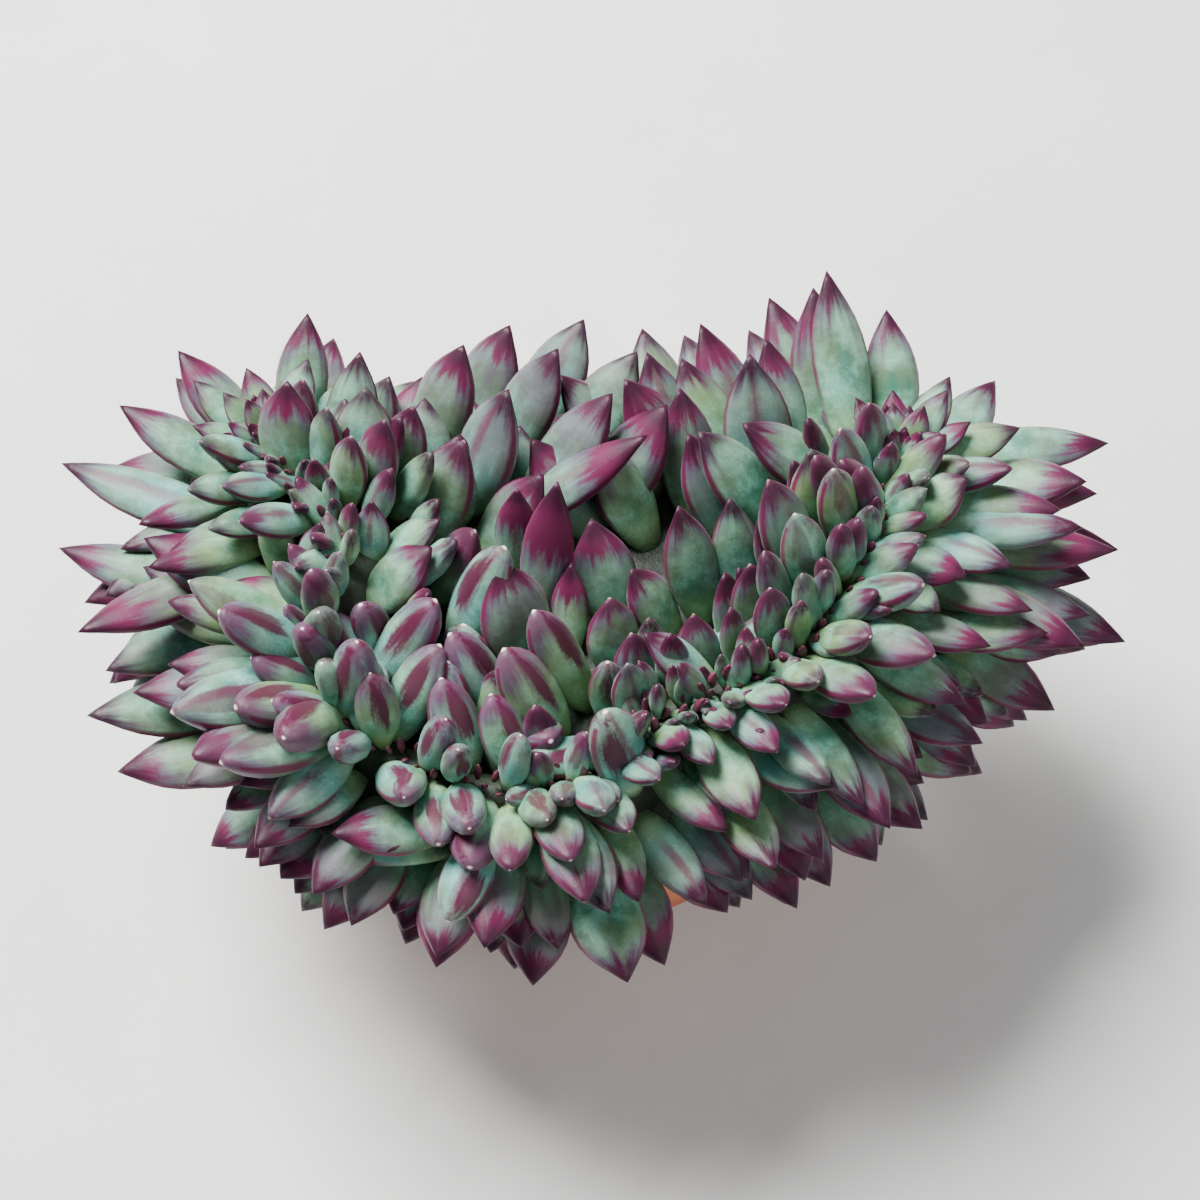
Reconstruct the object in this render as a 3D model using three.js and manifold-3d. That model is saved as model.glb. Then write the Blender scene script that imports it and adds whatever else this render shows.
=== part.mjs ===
// A crested echeveria in a plain bulb pan: pot, soil, woody stem, leafy crest and its growing line.
// Millimetres, +Z up. The origin is the middle of the pot's flat underside, and -Y is the front.
import * as THREE from 'three';
import { mergeVertices } from 'three/addons/utils/BufferGeometryUtils.js';
import Module from 'manifold-3d';

const wasm = await Module();
wasm.setup();
const radians = THREE.MathUtils.degToRad;

// Pot and soil
const POT_HEIGHT = 40;
const RIM_RADIUS = 35.5;
const RIM_BAND = 9;
const RIM_STEP = 2; // how far the rim band stands out from the wall
const FOOT_RADIUS = 24.5;
const POT_WALL = 3.2;
const POT_FLOOR = 4.5;
const EDGE = 1; // rounding of the rim and foot
const DRAIN = { count: 5, radius: 2.4, ring: 14 };
const SOIL_TOP = 35;
const FIT_GAP = 0.3; // clearance between pieces that touch

// Stem, flattened as crested stems are: half widths across and from front to back
const STEM = { foot: 20, head: 47, across: 9, deep: 6, flare: 9 };

// The growing line from its left end round the front to its right end: [x, y, z] at the top of the crest
const GROWING_LINE = [
  [-41, 19, 60], [-37.5, 13.5, 61], [-33, 7, 63], [-30.5, -0.5, 64], [-32.5, -8.5, 63], [-32.5, -15, 61.5],
  [-28, -22, 60], [-18.5, -27.5, 59], [-7.5, -30, 59], [2.5, -27.5, 60], [9.5, -22, 62.5], [19, -19, 65],
  [26.5, -14, 66.5], [32, -6, 67], [36.5, 3, 66], [39, 10, 64], [41, 16, 61],
];
// How wide the body is at each of those points, as a share of its usual width
const BODY_WIDTH = [1.8, 2.1, 2.2, 1.9, 1.4, 1.15, 1, 0.9, 0.9, 0.95, 1, 1, 1.05, 1.25, 1.6, 1.8, 1.75];
// How long the leaves are there, as a share of their row's length, outside the bend and inside it
const OUTER_REACH = [
  0.9, 1.02, 1.12, 1.05, 0.88, 0.77, 0.69, 0.68, 0.7, 0.74, 0.78, 0.79, 0.78, 0.8, 0.94, 1.08, 1.02,
];
const INNER_REACH = [
  0.85, 0.95, 1, 0.95, 0.9, 0.85, 0.85, 0.85, 0.85, 0.85, 0.85, 0.9, 0.95, 1, 1, 1, 0.95,
];
const END_REACH = 0.9;
const END_DRAW = 0.8; // how much narrower the body is straight past an end than beside it
// How large the leaves next to the line are: the front left stretch is past its first crowding
const YOUNG_SIZE = [
  1.3, 1.3, 1.35, 1.5, 1.75, 1.95, 2, 1.95, 1.75, 1.35, 1.1, 1.25, 1.5, 1.75, 1.75, 1.55, 1.35,
];
// The back edge of the plant, where the bend of the growing line is open
const BACK_EDGE = [[-42, 13], [-30, 10], [-14, 7], [2, 6], [18, 11], [40, 18]];
const BACK_REACH = [0.85, 0.88, 0.64, 0.66, 1.15, 1.3];

// Body that the leaves grow from
const CREST_FLOOR = 44;
const CREST_SPREAD = 2.1; // its half width is this times the root of the depth below the growing line
const BLUNT = 24; // how squarely the bar ends, and how far it goes on past the line there
const PAST = 3;
const MOUND = { x: -3, y: -1, across: 43, deep: 32, brim: 46, rise: 9.5, sag: 2, flat: 0.4 };

// Leaf rows, counted away from the line. drop is the depth of a leaf's foot below the line, as a share of
// the body's height, and side is its distance from the line where drop doesn't set it. pitch is the leaf's
// slope in degrees, step the spacing along the row and young the share that it takes of YOUNG_SIZE.
const OUTER_ROWS = [
  { drop: 0.015, pitch: 38, length: 7, width: 3.9, step: 4.8, young: 1 },
  { drop: 0.06, pitch: 26, length: 9.5, width: 4.7, step: 5.4, young: 0.7 },
  { drop: 0.14, pitch: 16, length: 13, width: 5.9, step: 6.4, young: 0.35 },
  { drop: 0.26, pitch: 11, length: 16, width: 6.8, step: 7.8 },
  { drop: 0.42, pitch: 3, length: 18, width: 7.6, step: 9.2 },
  { drop: 0.6, pitch: -4, length: 17.5, width: 8, step: 10.4 },
  { drop: 0.78, pitch: -12, length: 16.5, width: 7.8, step: 11 },
  { drop: 0.92, pitch: -23, length: 14.5, width: 7.6, step: 11.2 },
];
const INNER_ROWS = [
  { side: 2.6, pitch: 64, length: 8, width: 4.5, step: 5.4, young: 0.8 },
  { side: 5.8, pitch: 60, length: 11.5, width: 6.6, step: 8, young: 0.2 },
  { side: 11, pitch: 56, length: 14, width: 8.4, step: 9.8 },
  { side: 18, pitch: 48, length: 16, width: 9.4, step: 11.2 },
  { side: 26, pitch: 44, length: 17, width: 9.6, step: 11.8 },
  { side: 34, pitch: 36, length: 15.5, width: 9.2, step: 12 },
];
const BACK_ROWS = [
  { side: 2, pitch: 48, length: 15, width: 8.8, step: 10.6 },
  { side: 8, pitch: 34, length: 15, width: 8.6, step: 11 },
  { side: 11, pitch: 16, length: 15, width: 8.4, step: 11.8 },
  { side: 13, pitch: -6, length: 15, width: 8.2, step: 12.4 },
];
// Leaves placed one by one, feet in millimetres and angles in degrees. First the blunt, bean-shaped ones.
const BEAN_LEAVES = [
  { foot: [-26, -15, 57], heading: 35, pitch: 44, length: 14.4, width: 7.4 },
  { foot: [-24, -22, 56], heading: 50, pitch: 41, length: 13.7, width: 7 },
  { foot: [-14, -26, 56], heading: 112, pitch: 42, length: 11.5, width: 6.4 },
  { foot: [-10, -18, 56], heading: 143, pitch: 47, length: 12.2, width: 6.8 },
  { foot: [-16, -9, 57], heading: 43, pitch: 51, length: 15, width: 7.6 },
  { foot: [-3, -22, 56], heading: 137, pitch: 50, length: 14.3, width: 7.6 },
  { foot: [0, -17, 56], heading: 136, pitch: 52, length: 14.8, width: 6.6 },
  { foot: [2, -24, 57], heading: 205, pitch: 18, length: 10, width: 5.6 },
  { foot: [6, -28.5, 56], heading: 134, pitch: 66, length: 14, width: 7.6 },
  { foot: [-8, -27, 57], heading: 115, pitch: 40, length: 10, width: 6 },
  { foot: [-12, -36, 57], heading: 249, pitch: -12, length: 10, width: 6.4 },
  { foot: [-25, -11, 55.5], heading: 140, pitch: 72, length: 11, width: 6 },
  { foot: [-28, -12, 57.7], heading: -74, pitch: 36, length: 13.5, width: 5.8 },
  { foot: [-29, -14, 59], heading: 114, pitch: 52, length: 8, width: 5.6 },
  { foot: [3, -19, 55.3], heading: 95, pitch: 72, length: 10, width: 4.8 },
  { foot: [-18, -29.5, 57.5], heading: -84, pitch: 20, length: 9.5, width: 5.6 },
  { foot: [-12, -31.5, 57.3], heading: -97, pitch: 18, length: 10, width: 6.6 },
  { foot: [-23.5, -27, 57.8], heading: -63, pitch: 34, length: 8.5, width: 5.6 },
  { foot: [-7, -20, 55.3], heading: -62, pitch: 44, length: 9, width: 6 },
];
const POINTED_LEAVES = [
  { foot: [-11, 9, 56], heading: 14, pitch: 31, length: 23, width: 7.6 },
  { foot: [-6, -5, 56], heading: 71, pitch: 60, length: 19.7, width: 7.2 },
  { foot: [4, -5, 55], heading: 108, pitch: 45, length: 13.5, width: 8.8 },
  { foot: [11, -7, 56], heading: 146, pitch: 52, length: 11, width: 7.6 },
  { foot: [15, -5, 57], heading: 116, pitch: 57, length: 15.6, width: 7.6 },
  { foot: [20, -3, 57], heading: 104, pitch: 55, length: 14, width: 6.8 },
  { foot: [25, 9, 57], heading: 155, pitch: 42, length: 16.5, width: 9.6 },
  { foot: [8, 7, 56], heading: 129, pitch: 46, length: 14, width: 8.6 },
  { foot: [33, 13, 59], heading: 167, pitch: 32, length: 16, width: 9 },
  { foot: [31, 4, 61], heading: 125, pitch: 58, length: 13, width: 9.4 },
  { foot: [1, -37, 50], heading: 285, pitch: -6, length: 14, width: 9.8 },
  { foot: [-18, -35, 53], heading: 172, pitch: -3, length: 14, width: 7.6 },
  { foot: [49, 15, 56], heading: 351, pitch: 4, length: 17.5, width: 8.2 },
  { foot: [-40, -2, 57], heading: 162, pitch: 10, length: 16.5, width: 9.2 },
  { foot: [-46, 17, 55], heading: 152, pitch: 8, length: 18, width: 7.4 },
  { foot: [-46, 10, 54], heading: 160, pitch: -6, length: 25, width: 8 },
  { foot: [-49, 2, 51], heading: 162, pitch: -8, length: 21, width: 7.6 },
  { foot: [51, 22, 54], heading: 4, pitch: -6, length: 19, width: 7.6 },
  { foot: [36, 21, 57], heading: 101, pitch: 29, length: 22, width: 8.2 },
  { foot: [42, 23, 56], heading: 93, pitch: 20, length: 16.5, width: 7.8 },
  { foot: [47, 21, 52], heading: 52, pitch: -4, length: 16, width: 8 },
  { foot: [40, 25, 52], heading: 80, pitch: 0, length: 16, width: 8 },
  { foot: [-39, 24, 55], heading: 84, pitch: 32, length: 15.5, width: 7.6 },
  { foot: [-32, 18, 56], heading: 78, pitch: 42, length: 15, width: 7.6 },
  { foot: [28, 19, 56], heading: 111, pitch: 35, length: 16, width: 7.4 },
  { foot: [19, 18, 55], heading: 117, pitch: 34, length: 15.5, width: 8.8 },
  { foot: [-27, -5, 59.5], heading: 24, pitch: 36, length: 11.5, width: 8.2 },
  { foot: [-26, 1, 60], heading: 12, pitch: 36, length: 10.5, width: 6.2 },
  { foot: [-27, 0.5, 60.5], heading: 80, pitch: 56, length: 8.5, width: 5 },
  { foot: [-39, 0.5, 58.5], heading: 82, pitch: 62, length: 9, width: 5.2 },
  { foot: [-34.5, -2, 60.5], heading: 68, pitch: 54, length: 8, width: 5 },
  { foot: [-35, -5.5, 60.5], heading: 168, pitch: 6, length: 9, width: 5 },
  { foot: [38.5, -0.5, 64], heading: -30, pitch: 10, length: 9.5, width: 6.6 },
  { foot: [41, 5.5, 63], heading: 15, pitch: 35, length: 9, width: 7.6 },
  { foot: [16, -9, 56], heading: -14, pitch: 48, length: 13, width: 7 },
  { foot: [15, -16.5, 61], heading: 158, pitch: 26, length: 9.5, width: 5.8 },
  { foot: [-2, -10, 56], heading: 87, pitch: 48, length: 11.5, width: 5.2 },
  { foot: [-9, 2, 56], heading: 80, pitch: 60, length: 12, width: 6 },
  { foot: [37.5, -4, 64], heading: -46, pitch: 6, length: 8, width: 5.8 },
  { foot: [43, 3, 62], heading: -30, pitch: 9, length: 11.5, width: 6.4 },
  { foot: [48.5, 11.5, 56], heading: -40, pitch: 20, length: 15, width: 7.2 },
  { foot: [50, 16, 54.5], heading: -18, pitch: 24, length: 16.5, width: 9 },
  { foot: [43, -6, 55.7], heading: -14, pitch: 12, length: 15, width: 7.2 },
  { foot: [31, -16, 61], heading: -57, pitch: -4, length: 15.5, width: 6.8 },
  { foot: [35, -12, 60], heading: -32, pitch: -4, length: 13, width: 6.6 },
  { foot: [25.5, -20.5, 60.3], heading: -60, pitch: -6, length: 14, width: 6.2 },
  { foot: [19.5, -24, 58.6], heading: -38, pitch: 14, length: 13, width: 7.6 },
  { foot: [17, -27, 53.8], heading: -71, pitch: 17, length: 15.5, width: 7.2 },
  { foot: [-17, -33, 54.5], heading: -166, pitch: 14, length: 13, width: 7.4 },
  { foot: [19, -27.5, 48], heading: -62, pitch: -16, length: 14, width: 7.8 },
  { foot: [-42, -12, 48], heading: -166, pitch: 4, length: 20.5, width: 9.5 },
  { foot: [-40, -18.5, 47.5], heading: -168, pitch: -4, length: 18.5, width: 9.5 },
];
const CLEARING = 4.8; // row leaves stand at least this far from the foot of a placed one
const INNER_LEAN = 0.5; // how much the inner leaves turn from their row towards the open back
const OWN_GROUND = 0.8; // an inner leaf stays where no other stretch of the line is nearer than this share
const THICKNESS = 0.56; // leaf thickness as a share of its width, and that of the bean-shaped ones
const BEAN_THICKNESS = 0.75;
const ROOT = 0.22; // share of a leaf's length that is sunk in the body
const SMALL_LEAF = 19; // leaves shorter than this have fewer facets
const SEAM = 0.05; // finest facet edge kept where leaves are fused

// Dark buds on the growing line and the strip that they stand on
const BUDS = { side: 0.7, rise: 0.6, pitch: 74, length: 3.4, width: 2, step: 6 };
const STRIP = { half: 1, low: -0.4, high: 1 };

const LINE_SAMPLES = 240;
const STRIDE = 0.5;

// A repeatable random fraction for the number n
function fraction(n) {
  const value = Math.sin(n * 12.9898) * 43758.5453;
  return value - Math.floor(value);
}

function spread(n, reach) {
  return (2 * fraction(n) - 1) * reach;
}

function solidOf(geometry) {
  const bare = geometry.index ? geometry.toNonIndexed() : geometry.clone();
  bare.deleteAttribute('normal');
  bare.deleteAttribute('uv');
  const merged = mergeVertices(bare, 1e-4);
  const vertProperties = merged.attributes.position.array;
  const triVerts = new Uint32Array(merged.index.array);
  return new wasm.Manifold(new wasm.Mesh({ numProp: 3, vertProperties, triVerts }));
}

// The outer skin of the largest body, with sealed hollows filled and loose scraps dropped
function mainBody(solid) {
  const bodies = solid.asOriginal().simplify(SEAM).decompose();
  return bodies.reduce((best, body) => (body.volume() > best.volume() ? body : best));
}

function piece(name, solid, finish) {
  const mesh = solid.getMesh();
  const geometry = new THREE.BufferGeometry();
  geometry.setAttribute('position', new THREE.BufferAttribute(mesh.vertProperties, 3));
  geometry.setIndex(new THREE.BufferAttribute(mesh.triVerts, 1));
  const faceted = geometry.toNonIndexed();
  faceted.computeVertexNormals();
  const made = new THREE.Mesh(faceted, new THREE.MeshStandardMaterial(finish));
  made.name = name;
  return made;
}

function moveVertices(geometry, place) {
  const position = geometry.attributes.position;
  const point = new THREE.Vector3();
  for (let i = 0; i < position.count; i += 1) {
    place(point.fromBufferAttribute(position, i));
    position.setXYZ(i, point.x, point.y, point.z);
  }
  return geometry;
}

function upright(geometry) {
  return geometry.rotateX(Math.PI / 2);
}

// Radius of the pot's outer wall below the rim band, at height z
function wallRadius(z) {
  const top = RIM_RADIUS - RIM_STEP;
  return FOOT_RADIUS + (top - FOOT_RADIUS) * Math.sin(Math.PI / 2 * z / (POT_HEIGHT - RIM_BAND)) ** 0.9;
}

function corner(r, z, from, to, steps = 2) {
  return Array.from({ length: steps + 1 }, (_, i) => {
    const angle = radians(from + (to - from) * i / steps);
    return new THREE.Vector2(r + EDGE * Math.cos(angle), z + EDGE * Math.sin(angle));
  });
}

function potSolid() {
  const band = POT_HEIGHT - RIM_BAND;
  const flank = [8, 16, 24].map((z) => new THREE.Vector2(wallRadius(z), z));
  const inside = [band, 24, 16, 9].map((z) => new THREE.Vector2(wallRadius(z) - POT_WALL, z));
  const mouth = RIM_RADIUS - POT_WALL - RIM_STEP / 2;
  const profile = [
    new THREE.Vector2(0, 0),
    ...corner(FOOT_RADIUS - EDGE, EDGE, -90, 0),
    ...flank,
    new THREE.Vector2(wallRadius(band), band),
    ...corner(RIM_RADIUS - EDGE, band + EDGE, -60, 0, 1),
    ...corner(RIM_RADIUS - EDGE, POT_HEIGHT - EDGE, 0, 90),
    ...corner(mouth + EDGE, POT_HEIGHT - EDGE, 90, 180),
    ...inside,
    new THREE.Vector2(FOOT_RADIUS - POT_WALL, POT_FLOOR),
    new THREE.Vector2(0, POT_FLOOR),
  ];
  let pot = solidOf(upright(new THREE.LatheGeometry(profile, 32)));
  for (let i = 0; i < DRAIN.count; i += 1) {
    const angle = 2 * Math.PI * i / DRAIN.count;
    const drill = upright(new THREE.CylinderGeometry(DRAIN.radius, DRAIN.radius, 4 * POT_FLOOR, 10));
    drill.translate(DRAIN.ring * Math.cos(angle), DRAIN.ring * Math.sin(angle), 0);
    pot = pot.subtract(solidOf(drill));
  }
  return pot;
}

// The stem widens towards the crest and is ringed by old leaf scars. swell makes it larger all round.
function stemSolid(swell) {
  const geometry = upright(new THREE.CylinderGeometry(1, 1, 1, 16, 9));
  return solidOf(moveVertices(geometry, (point) => {
    const u = point.z + 0.5;
    const scar = 1 + 0.05 * Math.sin(u * 9 * Math.PI);
    point.x *= (STEM.across + STEM.flare * u * u) * scar + swell;
    point.y *= STEM.deep * (1 + 0.35 * u * u) * scar + swell;
    point.z = STEM.foot + u * (STEM.head - STEM.foot) + (2 * u - 1) * swell;
  }));
}

function soilSolid() {
  const heights = [POT_FLOOR + FIT_GAP, 9, 16, 24, POT_HEIGHT - RIM_BAND, SOIL_TOP];
  const wall = heights.map((z) => {
    const band = POT_HEIGHT - RIM_BAND;
    const inner = z < 9 ? FOOT_RADIUS - POT_WALL : wallRadius(Math.min(z, band)) - POT_WALL;
    return new THREE.Vector2(inner - 1.5 * FIT_GAP, z);
  });
  const top = [24, 12].map((r) => new THREE.Vector2(r, SOIL_TOP + 0.6));
  const bottom = new THREE.Vector2(0, POT_FLOOR + FIT_GAP);
  const profile = [bottom, ...wall, ...top, new THREE.Vector2(0, SOIL_TOP + 1)];
  const soil = solidOf(upright(new THREE.LatheGeometry(profile, 32)));
  return soil.subtract(stemSolid(FIT_GAP));
}

// A line through points, with each sample's distance along it
function makeLine(points) {
  const vectors = points.map(([x, y, z = 0]) => new THREE.Vector3(x, y, z));
  const curve = new THREE.CatmullRomCurve3(vectors, false, 'catmullrom', 0.5);
  const samples = curve.getPoints(LINE_SAMPLES).map((point, i) => ({ point, at: i / LINE_SAMPLES, s: 0 }));
  for (let i = 1; i < samples.length; i += 1) {
    samples[i].s = samples[i - 1].s + samples[i].point.distanceTo(samples[i - 1].point);
  }
  return { samples, length: samples[LINE_SAMPLES].s };
}

function lineAt(line, s) {
  const wanted = Math.min(Math.max(s, 0), line.length);
  const found = line.samples.findIndex((sample, i) => i > 0 && sample.s >= wanted);
  const i = found < 0 ? LINE_SAMPLES : found;
  const [before, after] = [line.samples[i - 1], line.samples[i]];
  const share = (wanted - before.s) / (after.s - before.s);
  return { point: before.point.clone().lerp(after.point, share), at: before.at + share / LINE_SAMPLES };
}

// The direction the line runs in at s, in plan, in radians
function courseAt(line, s) {
  const behind = lineAt(line, s - 2.5).point;
  const ahead = lineAt(line, s + 2.5).point;
  return Math.atan2(ahead.y - behind.y, ahead.x - behind.x);
}

// How sharply the line bends to the left at s, per millimetre
function bendAt(line, s) {
  const behind = Math.max(s - 5, 0);
  const ahead = Math.min(s + 5, line.length);
  const turned = courseAt(line, ahead) - courseAt(line, behind);
  return Math.atan2(Math.sin(turned), Math.cos(turned)) / (ahead - behind);
}

function nearestOnLine(line, x, y) {
  const far = (sample) => Math.hypot(sample.point.x - x, sample.point.y - y);
  const sample = line.samples.reduce((best, next) => (far(next) < far(best) ? next : best));
  return { point: sample.point, at: sample.at, away: far(sample) };
}

// Height of the crest's body above a place in plan
function groundHeight(x, y) {
  const { point, at, away } = nearestOnLine(growingLine, x, y);
  const bar = point.z - 1 - (away / CREST_SPREAD / listAt(BODY_WIDTH, at)) ** 2;
  const out = Math.hypot((x - MOUND.x) / MOUND.across, (y - MOUND.y) / MOUND.deep);
  const mound = MOUND.brim + MOUND.rise * Math.max(0, 1 - out * out) ** (MOUND.flat / 2);
  return Math.max(bar, mound);
}

function listAt(list, at) {
  const place = at * (list.length - 1);
  const i = Math.min(Math.floor(place), list.length - 2);
  return list[i] + (list[i + 1] - list[i]) * (place - i);
}

function rowLeaf(row, point, heading, wide, reach, swell, n) {
  const size = 1 + spread(n + 0.1, 0.13);
  const depth = (row.drop ?? 0) * (point.z - CREST_FLOOR);
  const side = row.side ?? CREST_SPREAD * Math.sqrt(depth) * wide;
  const x = point.x + Math.cos(heading) * side;
  const y = point.y + Math.sin(heading) * side;
  const ground = row.drop ? point.z - depth : groundHeight(x, y);
  return {
    foot: new THREE.Vector3(x, y, ground + spread(n + 0.5, 0.5)),
    heading: heading + spread(n + 0.2, 0.17),
    pitch: radians(row.pitch + spread(n + 0.3, 7)),
    roll: spread(n + 0.4, 0.2),
    length: row.length * reach * swell * size,
    width: row.width * swell * size,
    thickness: THICKNESS + (BEAN_THICKNESS - THICKNESS) * Math.min(1, swell - 1),
    side,
  };
}

// Leaves of one row on one side of a line: hand is 1 on its left and -1 on its right
function sideRow(line, row, rowNumber, hand, reachList, seed) {
  const leaves = [];
  let walked = row.step * (rowNumber % 2 ? 0.25 : 0.75);
  for (let s = 0; s <= line.length; s += STRIDE) {
    const { point, at } = lineAt(line, s);
    const young = row.young ?? 0;
    const swell = 1 + (listAt(YOUNG_SIZE, at) - 1) * young;
    const reach = young + listAt(reachList, at) * (1 - young);
    const wide = listAt(BODY_WIDTH, at);
    const out = (row.side ?? 5 * wide) + 0.4 * row.length * reach * Math.cos(radians(row.pitch));
    walked += STRIDE * Math.max(0.3, 1 - hand * bendAt(line, s) * out) / swell;
    if (walked >= row.step) {
      walked -= row.step;
      const heading = courseAt(line, s) + hand * Math.PI / 2;
      leaves.push(rowLeaf(row, point, heading, wide, reach, swell, seed + leaves.length));
    }
  }
  return leaves;
}

// Leaves of one row round an end of a line
function endRow(line, row, s, course, seed) {
  const { point } = lineAt(line, s);
  const out = 6 + 0.4 * row.length * Math.cos(radians(row.pitch));
  const count = Math.max(1, Math.round(Math.PI * out / row.step) - 1);
  return Array.from({ length: count }, (_, i) => {
    const turn = Math.PI * ((i + 1) / (count + 1) - 0.5);
    const wide = BODY_WIDTH[0] - END_DRAW * Math.cos(turn);
    return rowLeaf(row, point, course + turn, wide, END_REACH, 1, seed + i);
  });
}

function leanBack(leaf) {
  const x = Math.cos(leaf.heading);
  const y = Math.sin(leaf.heading) + INNER_LEAN;
  return { ...leaf, heading: Math.atan2(y, x) };
}

// Inner leaves stay out of the ground of the line's other arm
function onOwnGround(leaf) {
  return nearestOnLine(growingLine, leaf.foot.x, leaf.foot.y).away >= OWN_GROUND * leaf.side;
}

function placedLeaf(leaf, thickness) {
  const foot = new THREE.Vector3(...leaf.foot);
  return { ...leaf, foot, heading: radians(leaf.heading), pitch: radians(leaf.pitch), roll: 0, thickness };
}

function leafHalfWidth(u) {
  return u < 0.58 ? 0.25 + 0.75 * Math.sin(u / 0.58 * Math.PI / 2) : (1 - ((u - 0.58) / 0.42) ** 2) ** 0.8;
}

// A pointed, keeled leaf with four facets round
function leafSolid(leaf) {
  const geometry = new THREE.SphereGeometry(1, 4, leaf.length < SMALL_LEAF ? 3 : 4);
  moveVertices(geometry, (point) => {
    const u = 0.5 + 0.5 * point.y;
    const ring = Math.hypot(point.x, point.z);
    const angle = Math.atan2(point.z, point.x);
    const half = ring < 1e-6 ? 0 : 0.5 * leaf.width * leafHalfWidth(0.08 + 0.86 * u);
    const lift = 0.1 * leaf.length * u * u;
    const thick = leaf.thickness * (Math.sin(angle) > 0 ? 0.75 : 1.15);
    const along = leaf.length * ((1 + ROOT) * u - ROOT);
    point.set(half * Math.cos(angle), along, half * thick * Math.sin(angle) + lift);
  });
  const forward = new THREE.Vector3(
    Math.cos(leaf.heading) * Math.cos(leaf.pitch),
    Math.sin(leaf.heading) * Math.cos(leaf.pitch),
    Math.sin(leaf.pitch),
  );
  const right = new THREE.Vector3(Math.sin(leaf.heading), -Math.cos(leaf.heading), 0);
  right.applyAxisAngle(forward, leaf.roll);
  const upper = new THREE.Vector3().crossVectors(right, forward);
  geometry.applyMatrix4(new THREE.Matrix4().makeBasis(right, forward, upper).setPosition(leaf.foot));
  return solidOf(geometry);
}

function crestLeaves() {
  const line = growingLine;
  const back = makeLine(BACK_EDGE);
  const outer = OUTER_ROWS.flatMap((row, i) => [
    ...sideRow(line, row, i, -1, OUTER_REACH, 100 * i),
    ...endRow(line, row, 0, courseAt(line, 0) + Math.PI, 100 * i + 50),
    ...endRow(line, row, line.length, courseAt(line, line.length), 100 * i + 70),
  ]);
  const inner = INNER_ROWS.flatMap((row, i) => sideRow(line, row, i, 1, INNER_REACH, 1000 + 100 * i));
  const behind = BACK_ROWS.flatMap((row, i) => sideRow(back, row, i, 1, BACK_REACH, 2000 + 100 * i));
  const placed = [
    ...BEAN_LEAVES.map((leaf) => placedLeaf(leaf, BEAN_THICKNESS)),
    ...POINTED_LEAVES.map((leaf) => placedLeaf(leaf, THICKNESS)),
  ];
  const rows = [...outer, ...inner.map(leanBack).filter(onOwnGround), ...behind];
  const clear = (leaf) => placed.every(({ foot }) => foot.distanceTo(leaf.foot) > CLEARING);
  return [...rows.filter(clear), ...placed];
}

// The fleshy body under the leaves: a rounded bar bent along the growing line
function crestBar() {
  const line = growingLine;
  const geometry = new THREE.SphereGeometry(1, 8, 40);
  return solidOf(moveVertices(geometry, (point) => {
    const s = line.length * (0.5 - 0.53 * point.y);
    const end = Math.sqrt(Math.max(0, 1 - Math.abs(point.y) ** BLUNT));
    const angle = Math.atan2(point.z, point.x);
    const { point: top, at } = lineAt(line, s);
    const course = courseAt(line, s);
    const past = PAST * (s < 0 ? s : Math.max(0, s - line.length));
    const depth = (top.z - CREST_FLOOR) * (1 - end * Math.sin(angle)) / 2;
    const half = CREST_SPREAD * Math.sqrt(depth) * listAt(BODY_WIDTH, at) * end;
    const side = half * Math.sign(Math.round(9 * Math.cos(angle)));
    point.set(
      top.x + past * Math.cos(course) - side * Math.sin(course),
      top.y + past * Math.sin(course) + side * Math.cos(course),
      top.z - 1 - depth,
    );
  }));
}

// and the flat-topped mound that fills the bend
function crestMound() {
  return solidOf(moveVertices(new THREE.SphereGeometry(1, 18, 8), (point) => {
    const height = Math.sign(point.y) * Math.abs(point.y) ** MOUND.flat;
    point.set(
      MOUND.x + MOUND.across * point.x,
      MOUND.y - MOUND.deep * point.z,
      MOUND.brim + (height > 0 ? MOUND.rise : MOUND.sag) * height,
    );
  }));
}

// The strip of the growing point and the buds that crowd it in two files. swell makes it larger all round.
function growingLineSolid(swell) {
  const line = growingLine;
  const section = new THREE.Shape([
    new THREE.Vector2(-STRIP.low + swell, -STRIP.half - swell),
    new THREE.Vector2(-STRIP.low + swell, STRIP.half + swell),
    new THREE.Vector2(-STRIP.high - swell, 0),
  ]);
  const path = new THREE.CatmullRomCurve3(line.samples.map(({ point }) => point));
  const sweep = { steps: 48, bevelEnabled: false, extrudePath: path };
  const strip = solidOf(new THREE.ExtrudeGeometry(section, sweep));
  const buds = [];
  for (let s = BUDS.step / 2; s < line.length; s += BUDS.step / 2) {
    const hand = buds.length % 2 ? 1 : -1;
    const { point } = lineAt(line, s);
    const heading = courseAt(line, s) + hand * Math.PI / 2;
    const size = 1 + spread(3000 + buds.length, 0.18);
    buds.push({
      foot: new THREE.Vector3(
        point.x + Math.cos(heading) * BUDS.side,
        point.y + Math.sin(heading) * BUDS.side,
        point.z + BUDS.rise - swell,
      ),
      heading: heading + spread(3100 + buds.length, 0.5),
      pitch: radians(BUDS.pitch + spread(3200 + buds.length, 8)),
      roll: 0,
      thickness: THICKNESS,
      length: BUDS.length * size + 2 * swell,
      width: BUDS.width * size + 2 * swell,
    });
  }
  return buds.reduce((solid, bud) => solid.add(leafSolid(bud)), strip);
}

function crestSolid() {
  const body = crestBar().add(crestMound());
  const leafy = crestLeaves().reduce((solid, leaf) => solid.add(leafSolid(leaf)), body);
  return mainBody(leafy.subtract(stemSolid(FIT_GAP)).subtract(growingLineSolid(FIT_GAP)));
}

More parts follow.
